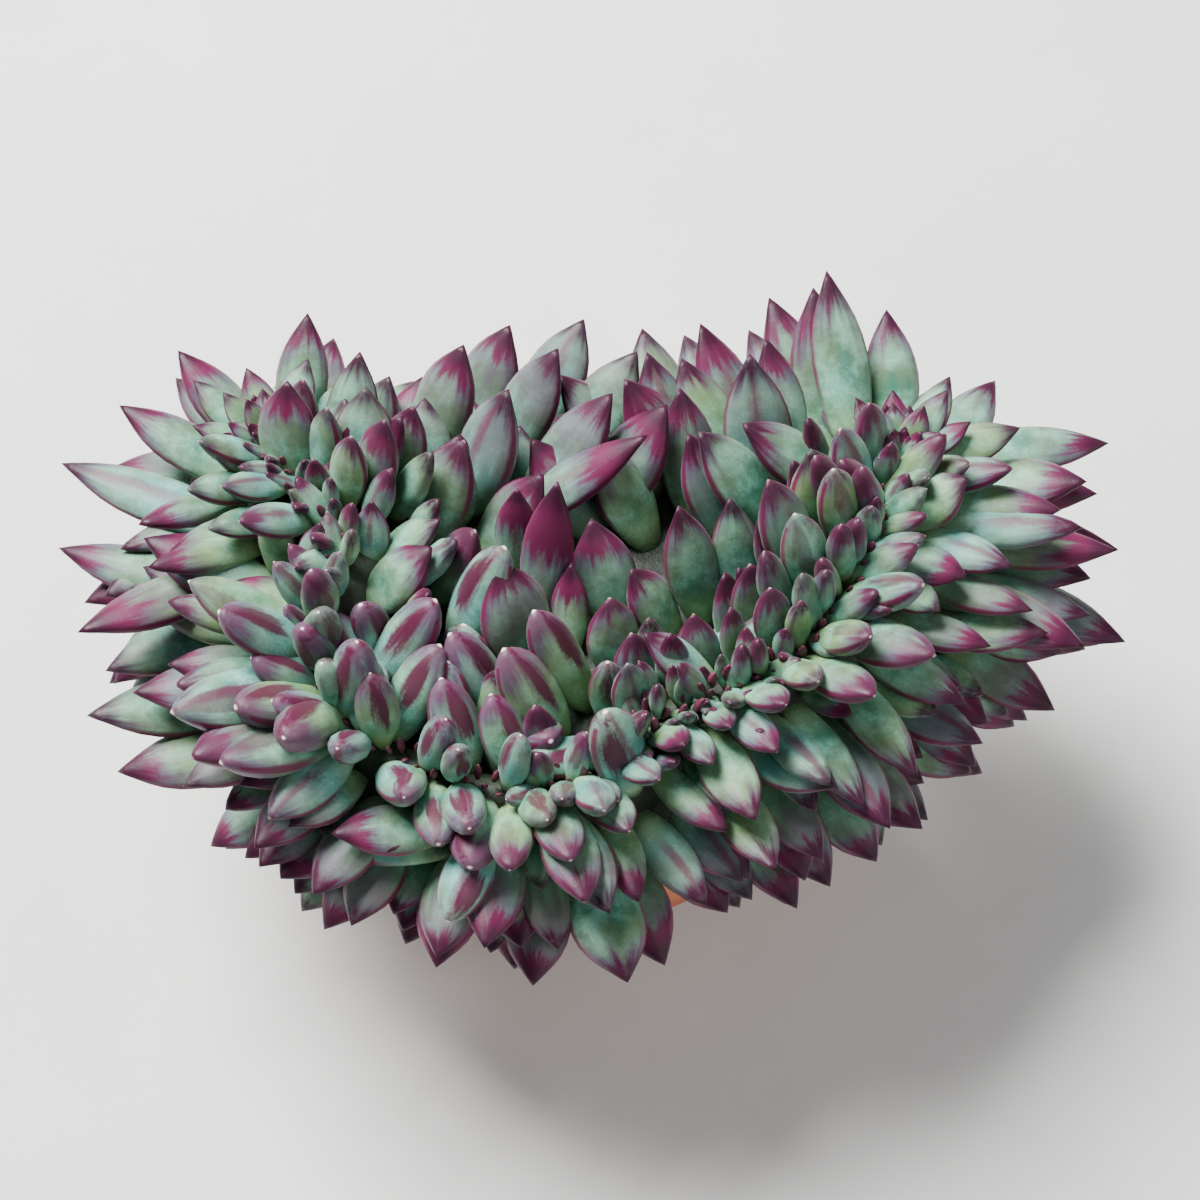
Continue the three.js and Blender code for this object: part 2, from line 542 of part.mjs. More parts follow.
const growingLine = makeLine(GROWING_LINE);
const pot = potSolid();
const soil = soilSolid();
const stem = stemSolid(0);
const crest = crestSolid();
const buds = mainBody(growingLineSolid(0));
const potted = new THREE.Group();
potted.add(piece('pot', pot, { color: 0xb5694a, roughness: 0.85 }));
potted.add(piece('soil', soil, { color: 0x6b5a4a, roughness: 0.95 }));
potted.add(piece('stem', stem, { color: 0x8a7358, roughness: 0.9 }));
potted.add(piece('crest', crest, { color: 0xa9c2a8, roughness: 0.6 }));
potted.add(piece('growing_line', buds, { color: 0x5a2a40, roughness: 0.6 }));
export default potted;
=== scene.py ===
# Potted crested echeveria colorata: leaves, buds, stem, soil and clay bowl dressed over the CAD frame
import math
from bisect import bisect_left
from functools import partial
import bmesh
import bpy
from mathutils import Matrix, Vector, noise


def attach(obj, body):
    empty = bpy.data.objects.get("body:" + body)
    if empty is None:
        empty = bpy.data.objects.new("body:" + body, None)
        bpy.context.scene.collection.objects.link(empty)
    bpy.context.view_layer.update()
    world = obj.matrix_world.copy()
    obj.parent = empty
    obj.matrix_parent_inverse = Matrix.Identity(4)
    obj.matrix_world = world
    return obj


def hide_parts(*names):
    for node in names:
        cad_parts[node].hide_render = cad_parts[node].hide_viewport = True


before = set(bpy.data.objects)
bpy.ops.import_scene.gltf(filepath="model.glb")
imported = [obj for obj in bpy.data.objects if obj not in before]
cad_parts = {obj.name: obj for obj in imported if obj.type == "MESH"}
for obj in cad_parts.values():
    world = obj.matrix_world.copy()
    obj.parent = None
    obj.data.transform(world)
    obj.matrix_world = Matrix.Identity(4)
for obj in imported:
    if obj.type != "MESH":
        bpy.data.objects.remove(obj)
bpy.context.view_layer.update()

mm = 0.001
scene = bpy.context.scene
print("frame loaded")


# A repeatable random fraction for the number n, and one spread either side of nought
def fraction(n):
    value = math.sin(n * 12.9898) * 43758.5453
    return value - math.floor(value)


def spread(n, reach):
    return (2 * fraction(n) - 1) * reach


def clamp01(value):
    return min(max(value, 0.0), 1.0)


def ease(low, high, value):
    t = clamp01((value - low) / (high - low))
    return t * t * (3 - 2 * t)


# The growing line and the body under the leaves, in millimetres, as in the solids
growth = {
    "line": [
        (-41, 19, 60), (-37.5, 13.5, 61), (-33, 7, 63), (-30.5, -0.5, 64), (-32.5, -8.5, 63),
        (-32.5, -15, 61.5), (-28, -22, 60), (-18.5, -27.5, 59), (-7.5, -30, 59), (2.5, -27.5, 60),
        (9.5, -22, 62.5), (19, -19, 65), (26.5, -14, 66.5), (32, -6, 67), (36.5, 3, 66), (39, 10, 64),
        (41, 16, 61),
    ],
    # each list below runs evenly along the line, from its left end to its right end
    "bodyWidth": [1.8, 2.1, 2.2, 1.9, 1.4, 1.15, 1, 0.9, 0.9, 0.95, 1, 1, 1.05, 1.25, 1.6, 1.8, 1.75],
    "outerReach": [  # leaf length as a share of its row's, outside the line and inside it
        0.9, 1.02, 1.12, 1.05, 0.88, 0.77, 0.69, 0.68, 0.7, 0.74, 0.78, 0.79, 0.78, 0.8, 0.94, 1.08, 1.02,
    ],
    "innerReach": [
        0.85, 0.95, 1, 0.95, 0.9, 0.85, 0.85, 0.85, 0.85, 0.85, 0.85, 0.9, 0.95, 1, 1, 1, 0.95,
    ],
    "youngSize": [  # how much larger than usual the leaves next to the line are
        1.3, 1.3, 1.35, 1.5, 1.75, 1.95, 2, 1.95, 1.75, 1.35, 1.1, 1.25, 1.5, 1.75, 1.75, 1.55, 1.35,
    ],
    "endReach": 0.9,
    "endDraw": 0.8,  # how much narrower the body is straight past an end than beside it
    "backEdge": [(-42, 13), (-30, 10), (-14, 7), (2, 6), (18, 11), (40, 18)],
    "backReach": [0.85, 0.88, 0.64, 0.66, 1.15, 1.3],
    "floor": 44,  # underside of the crest
    "spread": 2.1,  # its half width is this times the root of the depth below the growing line
    "sunk": 1,  # how far the body's top is below the line
    "mound": {"x": -3, "y": -1, "across": 43, "deep": 32, "brim": 46, "rise": 9.5, "sag": 2, "flat": 0.4},
    "samples": 240,
    "stride": 0.5,
    "glance": 2.5,  # how far along the line its course is read, and its bend
    "bendGlance": 5,
}


# Points along a smooth line, with each one's distance from the start
def makeLine(points):
    given = [Vector((p[0], p[1], p[2] if len(p) > 2 else 0)) for p in points]
    padded = [2 * given[0] - given[1]] + given + [2 * given[-1] - given[-2]]
    count = growth["samples"]
    places = []
    for k in range(count + 1):
        place = k / count * (len(given) - 1)
        i = min(int(place), len(given) - 2)
        t = place - i
        before, start, end, after = padded[i:i + 4]
        out, into = 0.5 * (end - before), 0.5 * (after - start)
        places.append(start + out * t + (3 * (end - start) - 2 * out - into) * t * t
                      + (2 * (start - end) + out + into) * t * t * t)
    walked = [0.0]
    for a, b in zip(places, places[1:]):
        walked.append(walked[-1] + (b - a).length)
    return {"places": places, "walked": walked, "length": walked[-1]}


def lineAt(line, s):
    wanted = min(max(s, 0.0), line["length"])
    i = min(bisect_left(line["walked"], wanted, 1), growth["samples"])
    before, after = line["walked"][i - 1], line["walked"][i]
    share = (wanted - before) / (after - before)
    return line["places"][i - 1].lerp(line["places"][i], share), (i - 1 + share) / growth["samples"]


def courseAt(line, s):
    ahead = lineAt(line, s + growth["glance"])[0] - lineAt(line, s - growth["glance"])[0]
    return math.atan2(ahead.y, ahead.x)


def bendAt(line, s):
    behind, ahead = max(s - growth["bendGlance"], 0), min(s + growth["bendGlance"], line["length"])
    turned = courseAt(line, ahead) - courseAt(line, behind)
    return math.atan2(math.sin(turned), math.cos(turned)) / (ahead - behind)


def nearestOnLine(line, x, y):
    away, i = min((math.hypot(p.x - x, p.y - y), i) for i, p in enumerate(line["places"]))
    return line["places"][i], i / growth["samples"], away


def listAt(values, at):
    place = at * (len(values) - 1)
    i = min(int(place), len(values) - 2)
    return values[i] + (values[i + 1] - values[i]) * (place - i)


growingLine = makeLine(growth["line"])


# Height of the body under the leaves
def groundHeight(x, y):
    point, at, away = nearestOnLine(growingLine, x, y)
    bar = point.z - growth["sunk"] - (away / growth["spread"] / listAt(growth["bodyWidth"], at)) ** 2
    mound = growth["mound"]
    out = math.hypot((x - mound["x"]) / mound["across"], (y - mound["y"]) / mound["deep"])
    return max(bar, mound["brim"] + mound["rise"] * max(0, 1 - out * out) ** (mound["flat"] / 2))


# Leaves, as in the solids: rows counted away from the growing line, then those placed one by one. A row is
# placed by its drop, a share of the way down the outside, or by its distance to the side. A placed leaf has
# its foot, its heading and pitch in degrees, its length and its width.
leafRows = {
    "outer": [
        {"drop": 0.015, "pitch": 38, "length": 7, "width": 3.9, "step": 4.8, "young": 1},
        {"drop": 0.06, "pitch": 26, "length": 9.5, "width": 4.7, "step": 5.4, "young": 0.7},
        {"drop": 0.14, "pitch": 16, "length": 13, "width": 5.9, "step": 6.4, "young": 0.35},
        {"drop": 0.26, "pitch": 11, "length": 16, "width": 6.8, "step": 7.8},
        {"drop": 0.42, "pitch": 3, "length": 18, "width": 7.6, "step": 9.2},
        {"drop": 0.6, "pitch": -4, "length": 17.5, "width": 8, "step": 10.4},
        {"drop": 0.78, "pitch": -12, "length": 16.5, "width": 7.8, "step": 11},
        {"drop": 0.92, "pitch": -23, "length": 14.5, "width": 7.6, "step": 11.2},
    ],
    "inner": [
        {"side": 2.6, "pitch": 64, "length": 8, "width": 4.5, "step": 5.4, "young": 0.8},
        {"side": 5.8, "pitch": 60, "length": 11.5, "width": 6.6, "step": 8, "young": 0.2},
        {"side": 11, "pitch": 56, "length": 14, "width": 8.4, "step": 9.8},
        {"side": 18, "pitch": 48, "length": 16, "width": 9.4, "step": 11.2},
        {"side": 26, "pitch": 44, "length": 17, "width": 9.6, "step": 11.8},
        {"side": 34, "pitch": 36, "length": 15.5, "width": 9.2, "step": 12},
    ],
    "back": [
        {"side": 2, "pitch": 48, "length": 15, "width": 8.8, "step": 10.6},
        {"side": 8, "pitch": 34, "length": 15, "width": 8.6, "step": 11},
        {"side": 11, "pitch": 16, "length": 15, "width": 8.4, "step": 11.8},
        {"side": 13, "pitch": -6, "length": 15, "width": 8.2, "step": 12.4},
    ],
    "bean": [
        (-26, -15, 57, 35, 44, 14.4, 7.4), (-24, -22, 56, 50, 41, 13.7, 7),
        (-14, -26, 56, 112, 42, 11.5, 6.4), (-10, -18, 56, 143, 47, 12.2, 6.8),
        (-16, -9, 57, 43, 51, 15, 7.6), (-3, -22, 56, 137, 50, 14.3, 7.6),
        (0, -17, 56, 136, 52, 14.8, 6.6), (2, -24, 57, 205, 18, 10, 5.6),
        (6, -28.5, 56, 134, 66, 14, 7.6), (-8, -27, 57, 115, 40, 10, 6),
        (-12, -36, 57, 249, -12, 10, 6.4), (-25, -11, 55.5, 140, 72, 11, 6),
        (-28, -12, 57.7, -74, 36, 13.5, 5.8), (-29, -14, 59, 114, 52, 8, 5.6),
        (3, -19, 55.3, 95, 72, 10, 4.8), (-18, -29.5, 57.5, -84, 20, 9.5, 5.6),
        (-12, -31.5, 57.3, -97, 18, 10, 6.6), (-23.5, -27, 57.8, -63, 34, 8.5, 5.6),
        (-7, -20, 55.3, -62, 44, 9, 6),
    ],
    "pointed": [
        (-11, 9, 56, 14, 31, 23, 7.6), (-6, -5, 56, 71, 60, 19.7, 7.2), (4, -5, 55, 108, 45, 13.5, 8.8),
        (11, -7, 56, 146, 52, 11, 7.6), (15, -5, 57, 116, 57, 15.6, 7.6), (20, -3, 57, 104, 55, 14, 6.8),
        (25, 9, 57, 155, 42, 16.5, 9.6), (8, 7, 56, 129, 46, 14, 8.6), (33, 13, 59, 167, 32, 16, 9),
        (31, 4, 61, 125, 58, 13, 9.4), (1, -37, 50, 285, -6, 14, 9.8), (-18, -35, 53, 172, -3, 14, 7.6),
        (49, 15, 56, 351, 4, 17.5, 8.2), (-40, -2, 57, 162, 10, 16.5, 9.2),
        (-46, 17, 55, 152, 8, 18, 7.4), (-46, 10, 54, 160, -6, 25, 8), (-49, 2, 51, 162, -8, 21, 7.6),
        (51, 22, 54, 4, -6, 19, 7.6), (36, 21, 57, 101, 29, 22, 8.2), (42, 23, 56, 93, 20, 16.5, 7.8),
        (47, 21, 52, 52, -4, 16, 8), (40, 25, 52, 80, 0, 16, 8), (-39, 24, 55, 84, 32, 15.5, 7.6),
        (-32, 18, 56, 78, 42, 15, 7.6), (28, 19, 56, 111, 35, 16, 7.4), (19, 18, 55, 117, 34, 15.5, 8.8),
        (-27, -5, 59.5, 24, 36, 11.5, 8.2), (-26, 1, 60, 12, 36, 10.5, 6.2),
        (-27, 0.5, 60.5, 80, 56, 8.5, 5), (-39, 0.5, 58.5, 82, 62, 9, 5.2),
        (-34.5, -2, 60.5, 68, 54, 8, 5), (-35, -5.5, 60.5, 168, 6, 9, 5),
        (38.5, -0.5, 64, -30, 10, 9.5, 6.6), (41, 5.5, 63, 15, 35, 9, 7.6), (16, -9, 56, -14, 48, 13, 7),
        (15, -16.5, 61, 158, 26, 9.5, 5.8), (-2, -10, 56, 87, 48, 11.5, 5.2), (-9, 2, 56, 80, 60, 12, 6),
        (37.5, -4, 64, -46, 6, 8, 5.8), (43, 3, 62, -30, 9, 11.5, 6.4),
        (48.5, 11.5, 56, -40, 20, 15, 7.2), (50, 16, 54.5, -18, 24, 16.5, 9),
        (43, -6, 55.7, -14, 12, 15, 7.2), (31, -16, 61, -57, -4, 15.5, 6.8),
        (35, -12, 60, -32, -4, 13, 6.6), (25.5, -20.5, 60.3, -60, -6, 14, 6.2),
        (19.5, -24, 58.6, -38, 14, 13, 7.6), (17, -27, 53.8, -71, 17, 15.5, 7.2),
        (-17, -33, 54.5, -166, 14, 13, 7.4), (19, -27.5, 48, -62, -16, 14, 7.8),
        (-42, -12, 48, -166, 4, 20.5, 9.5), (-40, -18.5, 47.5, -168, -4, 18.5, 9.5),
    ],
    "clearing": 4.8,  # row leaves stand at least this far from the foot of a placed one
    "innerLean": 0.5,  # how much inner leaves turn towards the open back
    "ownGround": 0.8,  # an inner leaf stays where no other stretch of the line is nearer than this share
    "thickness": 0.56,  # as a share of the width, and that of the bean-shaped ones
    "beanThickness": 0.75,
    "root": 0.22,  # share of a leaf's length that is sunk in the body
    "grown": 17,  # length of a fully grown leaf
    "lean": 0.4,  # share of a leaf's length that sets how far apart its row stands
    "starts": (0.75, 0.25),  # rows start this far through a step, in turn
    "tightest": 0.3,  # the least share of its length that a stretch has inside a bend
    "barHalf": 5,  # usual half width of the body beside the line, and round its ends
    "endHalf": 6,
    "vary": {"size": 0.13, "turn": 0.17, "pitch": 7, "roll": 0.2, "foot": 0.5},
}

# Every leaf has a number that seeds its own differences. These are the first numbers of each kind.
firstNumber = {
    "outer": 0, "inner": 1000, "back": 2000, "buds": 3000, "bean": 4000, "pointed": 4100,
    "young": 5000, "low": 7000, "grit": 8000, "gap": 8500, "gapInside": 9500,
}


def rowLeaf(row, point, heading, wide, reach, swell, n):
    vary = leafRows["vary"]
    size = 1 + spread(n + 0.1, vary["size"])
    depth = row.get("drop", 0) * (point.z - growth["floor"])
    side = row["side"] if "side" in row else growth["spread"] * math.sqrt(depth) * wide
    x = point.x + math.cos(heading) * side
    y = point.y + math.sin(heading) * side
    ground = point.z - depth if "drop" in row else groundHeight(x, y)
    bean = min(1.0, swell - 1)
    return {
        "foot": Vector((x, y, ground + spread(n + 0.5, vary["foot"]))),
        "heading": heading + spread(n + 0.2, vary["turn"]),
        "pitch": math.radians(row["pitch"] + spread(n + 0.3, vary["pitch"])),
        "roll": spread(n + 0.4, vary["roll"]),
        "length": row["length"] * reach * swell * size,
        "width": row["width"] * swell * size,
        "thickness": leafRows["thickness"] + (leafRows["beanThickness"] - leafRows["thickness"]) * bean,
        "side": side,
        "number": n,
        "age": row.get("age", clamp01(row["length"] / leafRows["grown"])),
        "bean": bean,
    }


# A row along one side of the line, 1 for its left and -1 for its right
def sideRow(line, row, rowNumber, hand, reachList, seed):
    leaves = []
    walked = row["step"] * leafRows["starts"][rowNumber % 2]
    for k in range(int(line["length"] / growth["stride"]) + 1):
        s = k * growth["stride"]
        point, at = lineAt(line, s)
        young = row.get("young", 0)
        swell = 1 + (listAt(growth["youngSize"], at) - 1) * young
        reach = young + listAt(reachList, at) * (1 - young)
        wide = listAt(growth["bodyWidth"], at)
        out = row.get("side", leafRows["barHalf"] * wide)
        out += leafRows["lean"] * row["length"] * reach * math.cos(math.radians(row["pitch"]))
        walked += growth["stride"] * max(leafRows["tightest"], 1 - hand * bendAt(line, s) * out) / swell
        if walked >= row["step"]:
            walked -= row["step"]
            heading = courseAt(line, s) + hand * math.pi / 2
            leaves.append(rowLeaf(row, point, heading, wide, reach, swell, seed + len(leaves)))
    return leaves


# A row round each end of the growing line
def endRows(row, seed):
    line = growingLine
    out = leafRows["endHalf"] + leafRows["lean"] * row["length"] * math.cos(math.radians(row["pitch"]))
    count = max(1, int(math.pi * out / row["step"] + 0.5) - 1)
    leaves = []
    for s, course, first in (
        (0.0, courseAt(line, 0) + math.pi, seed + 50),
        (line["length"], courseAt(line, line["length"]), seed + 70),
    ):
        point = lineAt(line, s)[0]
        for i in range(count):
            turn = math.pi * ((i + 1) / (count + 1) - 0.5)
            wide = growth["bodyWidth"][0] - growth["endDraw"] * math.cos(turn)
            leaves.append(rowLeaf(row, point, course + turn, wide, growth["endReach"], 1, first + i))
    return leaves


def leanBack(leaf):
    x, y = math.cos(leaf["heading"]), math.sin(leaf["heading"]) + leafRows["innerLean"]
    return {**leaf, "heading": math.atan2(y, x)}


def onOwnGround(leaf):
    away = nearestOnLine(growingLine, leaf["foot"].x, leaf["foot"].y)[2]
    return away >= leafRows["ownGround"] * leaf["side"]


def roomy(leaf, others, gap):
    return all((other["foot"] - leaf["foot"]).length > gap for other in others)


def placedLeaf(values, number, bean):
    x, y, z, heading, pitch, length, width = values
    return {
        "foot": Vector((x, y, z)),
        "heading": math.radians(heading),
        "pitch": math.radians(pitch),
        "roll": 0.0,
        "length": length,
        "width": width,
        "thickness": leafRows["beanThickness" if bean else "thickness"],
        "number": number,
        "age": 0.6,
        "bean": float(bean),
    }


def solidLeaves():
    line = growingLine
    outer, inner, back = [], [], []
    for i, row in enumerate(leafRows["outer"]):
        first = firstNumber["outer"] + 100 * i
        outer += sideRow(line, row, i, -1, growth["outerReach"], first) + endRows(row, first)
    for i, row in enumerate(leafRows["inner"]):
        inner += sideRow(line, row, i, 1, growth["innerReach"], firstNumber["inner"] + 100 * i)
    edge = makeLine(growth["backEdge"])
    for i, row in enumerate(leafRows["back"]):
        back += sideRow(edge, row, i, 1, growth["backReach"], firstNumber["back"] + 100 * i)
    placed = [placedLeaf(values, firstNumber[kind] + i, kind == "bean")
              for kind in ("bean", "pointed") for i, values in enumerate(leafRows[kind])]
    inner = [leaf for leaf in map(leanBack, inner) if onOwnGround(leaf)]
    return [leaf for leaf in outer + inner + back if roomy(leaf, placed, leafRows["clearing"])] + placed


# Leaves too many for the solids: young ones beside the growing line, more among and under the lowest rows,
# and fillers where the rest leave a bare patch
youngRows = {
    "young": [
        {"side": 0.4, "pitch": 58, "length": 4.9, "width": 2.9, "step": 2.7, "age": 0, "everywhere": True,
         "outward": 16, "turn": 1.3, "tilt": 16, "vary": 0.3},
        {"side": 1.1, "pitch": 60, "length": 4.2, "width": 2.4, "step": 2.6, "age": 0},
        {"side": 3.1, "pitch": 46, "length": 6.2, "width": 3.6, "step": 4.4, "age": 0.12},
    ],
    "low": [
        {"drop": 0.69, "pitch": -4, "length": 14, "width": 7.8, "step": 12},
        {"drop": 0.85, "pitch": -16, "length": 14, "width": 7.6, "step": 11},
        {"drop": 0.98, "pitch": -28, "length": 12, "width": 7, "step": 10.5},
    ],
    # tried along the line, and kept where the leaves that are there leave a bare patch
    "gap": [
        {"drop": 0.035, "pitch": 34, "length": 8, "width": 4.4, "step": 1.9, "young": 0.7},
        {"drop": 0.1, "pitch": 22, "length": 10.5, "width": 5.2, "step": 2.1, "young": 0.5},
        {"drop": 0.2, "pitch": 13, "length": 13, "width": 6, "step": 2.3, "young": 0.2},
        {"drop": 0.34, "pitch": 8, "length": 14.5, "width": 6.6, "step": 2.2, "room": 4.1},
        {"drop": 0.51, "pitch": 1, "length": 15, "width": 7, "step": 2.4, "room": 4.5},
        {"drop": 0.7, "pitch": -7, "length": 14, "width": 7.2, "step": 2.6, "room": 4.9},
        {"drop": 0.15, "pitch": 18, "length": 9.5, "width": 5.2, "step": 1.7, "room": 3.3},
        {"drop": 0.27, "pitch": 10, "length": 11.5, "width": 6, "step": 1.9, "room": 3.5},
        {"drop": 0.42, "pitch": 4, "length": 12, "width": 6.4, "step": 2.1, "room": 3.8},
        {"drop": 0.6, "pitch": -3, "length": 12, "width": 6.8, "step": 2.3, "room": 4.1},
    ],
    "gapInside": [
        {"side": 4.2, "pitch": 60, "length": 9, "width": 5, "step": 2, "young": 0.5},
        {"side": 8.2, "pitch": 58, "length": 11.5, "width": 6.2, "step": 2.3},
    ],
    "room": 3.5,  # a filler's foot is at least this far from any other
    "clearing": 2.8,  # young leaves, and low ones, stand at least this far from the foot of a placed one
    "lowClearing": 4.5,
    "turn": 0.4,
    "paceVary": 0.25,
    "shape": 0.4,
    "most": 1.35,  # no young ones stand where the leaves next to the line are larger than this
    # how bean-shaped the leaves on the inner side are along the line, and how far from it
    "bean": [0, 0, 0.1, 0.3, 0.7, 1, 1, 1, 0.9, 0.6, 0.3, 0.2, 0.2, 0.2, 0.1, 0, 0],
    "beanDepth": 13,
}


# Small leaves on one side of the line, where it is still crowded
def youngSide(row, hand, seed):
    line = growingLine
    leaves = []
    s = row["step"] * fraction(seed)
    while s < line["length"]:
        point, at = lineAt(line, s)
        size = listAt(growth["youngSize"], at)
        heading = courseAt(line, s) + hand * math.pi / 2
        leaf = rowLeaf(row, point, heading, 1, 1, size, seed + len(leaves))
        leaf["heading"] += spread(leaf["number"] + 0.15, row.get("turn", youngRows["turn"]))
        tilt = spread(leaf["number"] + 0.25, row.get("tilt", 0)) + hand * row.get("outward", 0)
        leaf["pitch"] += math.radians(tilt)
        grown = 1 + spread(leaf["number"] + 0.45, row.get("vary", 0))
        leaf["length"] *= grown
        leaf["width"] *= grown
        pace = row["step"] * (1 if row.get("everywhere") else size)
        s += pace * (1 + spread(seed + len(leaves) + 0.35, youngRows["paceVary"]))
        if row.get("everywhere") or leaf["bean"] < youngRows["most"] - 1:
            leaf["bean"] = max(youngRows["shape"] * leaf["bean"], listAt(youngRows["bean"], at))
            leaves.append(leaf)
    return leaves


# Young leaves with the fillers, and low ones, round the leaves that are there
def extraLeaves(kept):
    line = growingLine
    young, low = [], []
    for i, row in enumerate(youngRows["young"]):
        first = firstNumber["young"] + 400 * i
        for hand in (-1, 1):
            young += youngSide(row, hand, first + 100 * (hand + 1))
        young += endRows(row, first + 350)
    for i, row in enumerate(youngRows["low"]):
        first = firstNumber["low"] + 100 * i
        low += sideRow(line, row, i, -1, growth["outerReach"], first) + endRows(row, first)
    placed = [leaf for leaf in kept if leaf["number"] >= firstNumber["bean"]]

    young = [leaf for leaf in young if roomy(leaf, placed, youngRows["clearing"])]
    low = [leaf for leaf in low if roomy(leaf, placed, youngRows["lowClearing"])]
    filled = placed + [leaf for leaf in kept if leaf["number"] < firstNumber["back"]]
    for name, hand, reaches in (("gap", -1, growth["outerReach"]), ("gapInside", 1, growth["innerReach"])):
        for i, row in enumerate(youngRows[name]):
            first = firstNumber[name] + 150 * i
            tried = sideRow(line, row, i, hand, reaches, first)
            if hand < 0:
                tried += endRows(row, first + 1000)
            for leaf in tried:
                if roomy(leaf, filled, row.get("room", youngRows["room"])):
                    filled.append(leaf)
                    young.append(leaf)
    return young, low


leafForm = {
    "segments": 8,
    "rings": 7,
    "youngSegments": 6,
    "youngRings": 5,
    "widest": 0.58,  # where a pointed leaf is widest, from its base at 0 to its tip at 1
    "base": 0.25,  # its width at the base, as a share of the widest
    "taper": 0.8,  # above 0.5 the sides run straighter into the tip
    "beanMiddle": 0.56,
    "beanHalf": 0.46,
    "beanSquare": 2.4,  # 2 makes the bean-shaped leaf an ellipse, and more makes it blunter
    "lift": 0.1,  # how far the tip curves up, as a share of the length, and how much that varies
    "liftVary": 0.35,
    "bow": 0.035,  # how far it may bend to one side
    "plump": 1.1,
    "upperSwell": 0.8,
    "underSwell": 1.15,
    "keel": 0.16,  # how much the keel adds to the underside, from keelStart to keelFull
    "keelStart": 0.35,
    "keelFull": 0.85,
    "reddest": {0: 1.0, 1: 1.4, 37: 1.15},  # pointed leaves that are flushed far down, by place in the list
    "fullness": 1.05,  # makes up for what the smoothing takes off
    "spike": 0.06,  # length of the tip's little point, as a share of the leaf's
    "tipCrease": 0.55,
    "edgeCrease": 0.35,
}


def leafHalfWidth(u, bean):
    widest, base = leafForm["widest"], leafForm["base"]
    if u < widest:
        pointed = base + (1 - base) * math.sin(u / widest * math.pi / 2)
    else:
        pointed = max(0.0, 1 - ((u - widest) / (1 - widest)) ** 2) ** leafForm["taper"]
    off = abs((u - leafForm["beanMiddle"]) / leafForm["beanHalf"])
    blunt = max(0.0, 1 - off ** leafForm["beanSquare"]) ** 0.5
    return pointed + (blunt - pointed) * bean


# A pointed, keeled leaf. leafPlace keeps how far along, across and up each point is, and leafKind the leaf's
# own chance, flush, age and roundness, for its material.
def growLeaf(bm, leaf, young=False):
    place = bm.verts.layers.float_vector["leafPlace"]
    kind = bm.verts.layers.float_color["leafKind"]
    crease = bm.edges.layers.float["crease_edge"]
    segments = leafForm["youngSegments" if young else "segments"]
    rings = leafForm["youngRings" if young else "rings"]
    made = bmesh.ops.create_uvsphere(bm, u_segments=segments, v_segments=rings, radius=1)["verts"]
    n, length = leaf["number"], leaf["length"]
    flush = leafForm["reddest"].get(n - firstNumber["pointed"], fraction(n + 0.7))
    own = Vector((fraction(n + 0.6), flush, leaf["age"], leaf["bean"]))
    curl = leafForm["lift"] * length * (1 + spread(n + 0.8, leafForm["liftVary"]))
    bow = spread(n + 0.9, leafForm["bow"]) * length
    forward = Vector((math.cos(leaf["heading"]) * math.cos(leaf["pitch"]),
                      math.sin(leaf["heading"]) * math.cos(leaf["pitch"]), math.sin(leaf["pitch"])))
    right = Vector((math.sin(leaf["heading"]), -math.cos(leaf["heading"]), 0))
    right.rotate(Matrix.Rotation(leaf["roll"], 3, forward))
    upper = right.cross(forward)
    for vert in made:
        u = 0.5 + 0.5 * vert.co.z
        ring = math.hypot(vert.co.x, vert.co.y)
        angle = math.atan2(vert.co.y, vert.co.x)
        across, up = math.cos(angle), math.sin(angle)
        if ring < 1e-6:  # the base and the tip
            across, up, half = 0.0, 0.0, 0.0
        else:
            half = 0.5 * leaf["width"] * leafHalfWidth(u, leaf["bean"]) * leafForm["fullness"]
        keel = leafForm["keel"] * ease(leafForm["keelStart"], leafForm["keelFull"], u) * max(0.0, -up) ** 3
        swell = leafForm["upperSwell" if up > 0 else "underSwell"]
        thick = leaf["thickness"] * leafForm["plump"] * swell * (1 + keel)
        along = length * ((1 + leafRows["root"]) * u - leafRows["root"])
        if u > 0.999:
            along += length * leafForm["spike"]
        local = Vector((half * across + bow * u * u, along, half * thick * up + curl * u * u))
        vert.co = (leaf["foot"] + right * local.x + forward * local.y + upper * local.z) * mm
        vert[place] = Vector((u, across, up))
        vert[kind] = own
    tip = max(made, key=lambda v: v[place].x)
    for edge in tip.link_edges:
        edge[crease] = leafForm["tipCrease"]
    for edge in {edge for vert in made for edge in vert.link_edges}:  # the sharp margins, but not at the base
        ends = [vert[place] for vert in edge.verts]
        if ends[0].y * ends[1].y > 0.9 and min(ends[0].x, ends[1].x) > 0.3:
            edge[crease] = leafForm["edgeCrease"]


def newLeafMesh():
    bm = bmesh.new()
    bm.verts.layers.float_vector.new("leafPlace")
    bm.verts.layers.float_color.new("leafKind")
    bm.edges.layers.float.new("crease_edge")
    return bm


def finishPiece(name, bm, material, node, levels=0):
    bmesh.ops.recalc_face_normals(bm, faces=bm.faces)
    mesh = bpy.data.meshes.new(name)
    bm.to_mesh(mesh)
    bm.free()
    mesh.shade_smooth()
    piece = bpy.data.objects.new(name, mesh)
    scene.collection.objects.link(piece)
    mesh.materials.append(material)
    if levels:
        rounding = piece.modifiers.new("smooth", "SUBSURF")
        rounding.levels = levels
        rounding.render_levels = levels
    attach(piece, "root")
    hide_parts(node)
    return piece


# sRGB hex to linear, with alpha
def colour(code):
    channels = [int(code[i:i + 2], 16) / 255 for i in (1, 3, 5)]
    return [c / 12.92 if c <= 0.04045 else ((c + 0.055) / 1.055) ** 2.4 for c in channels] + [1.0]


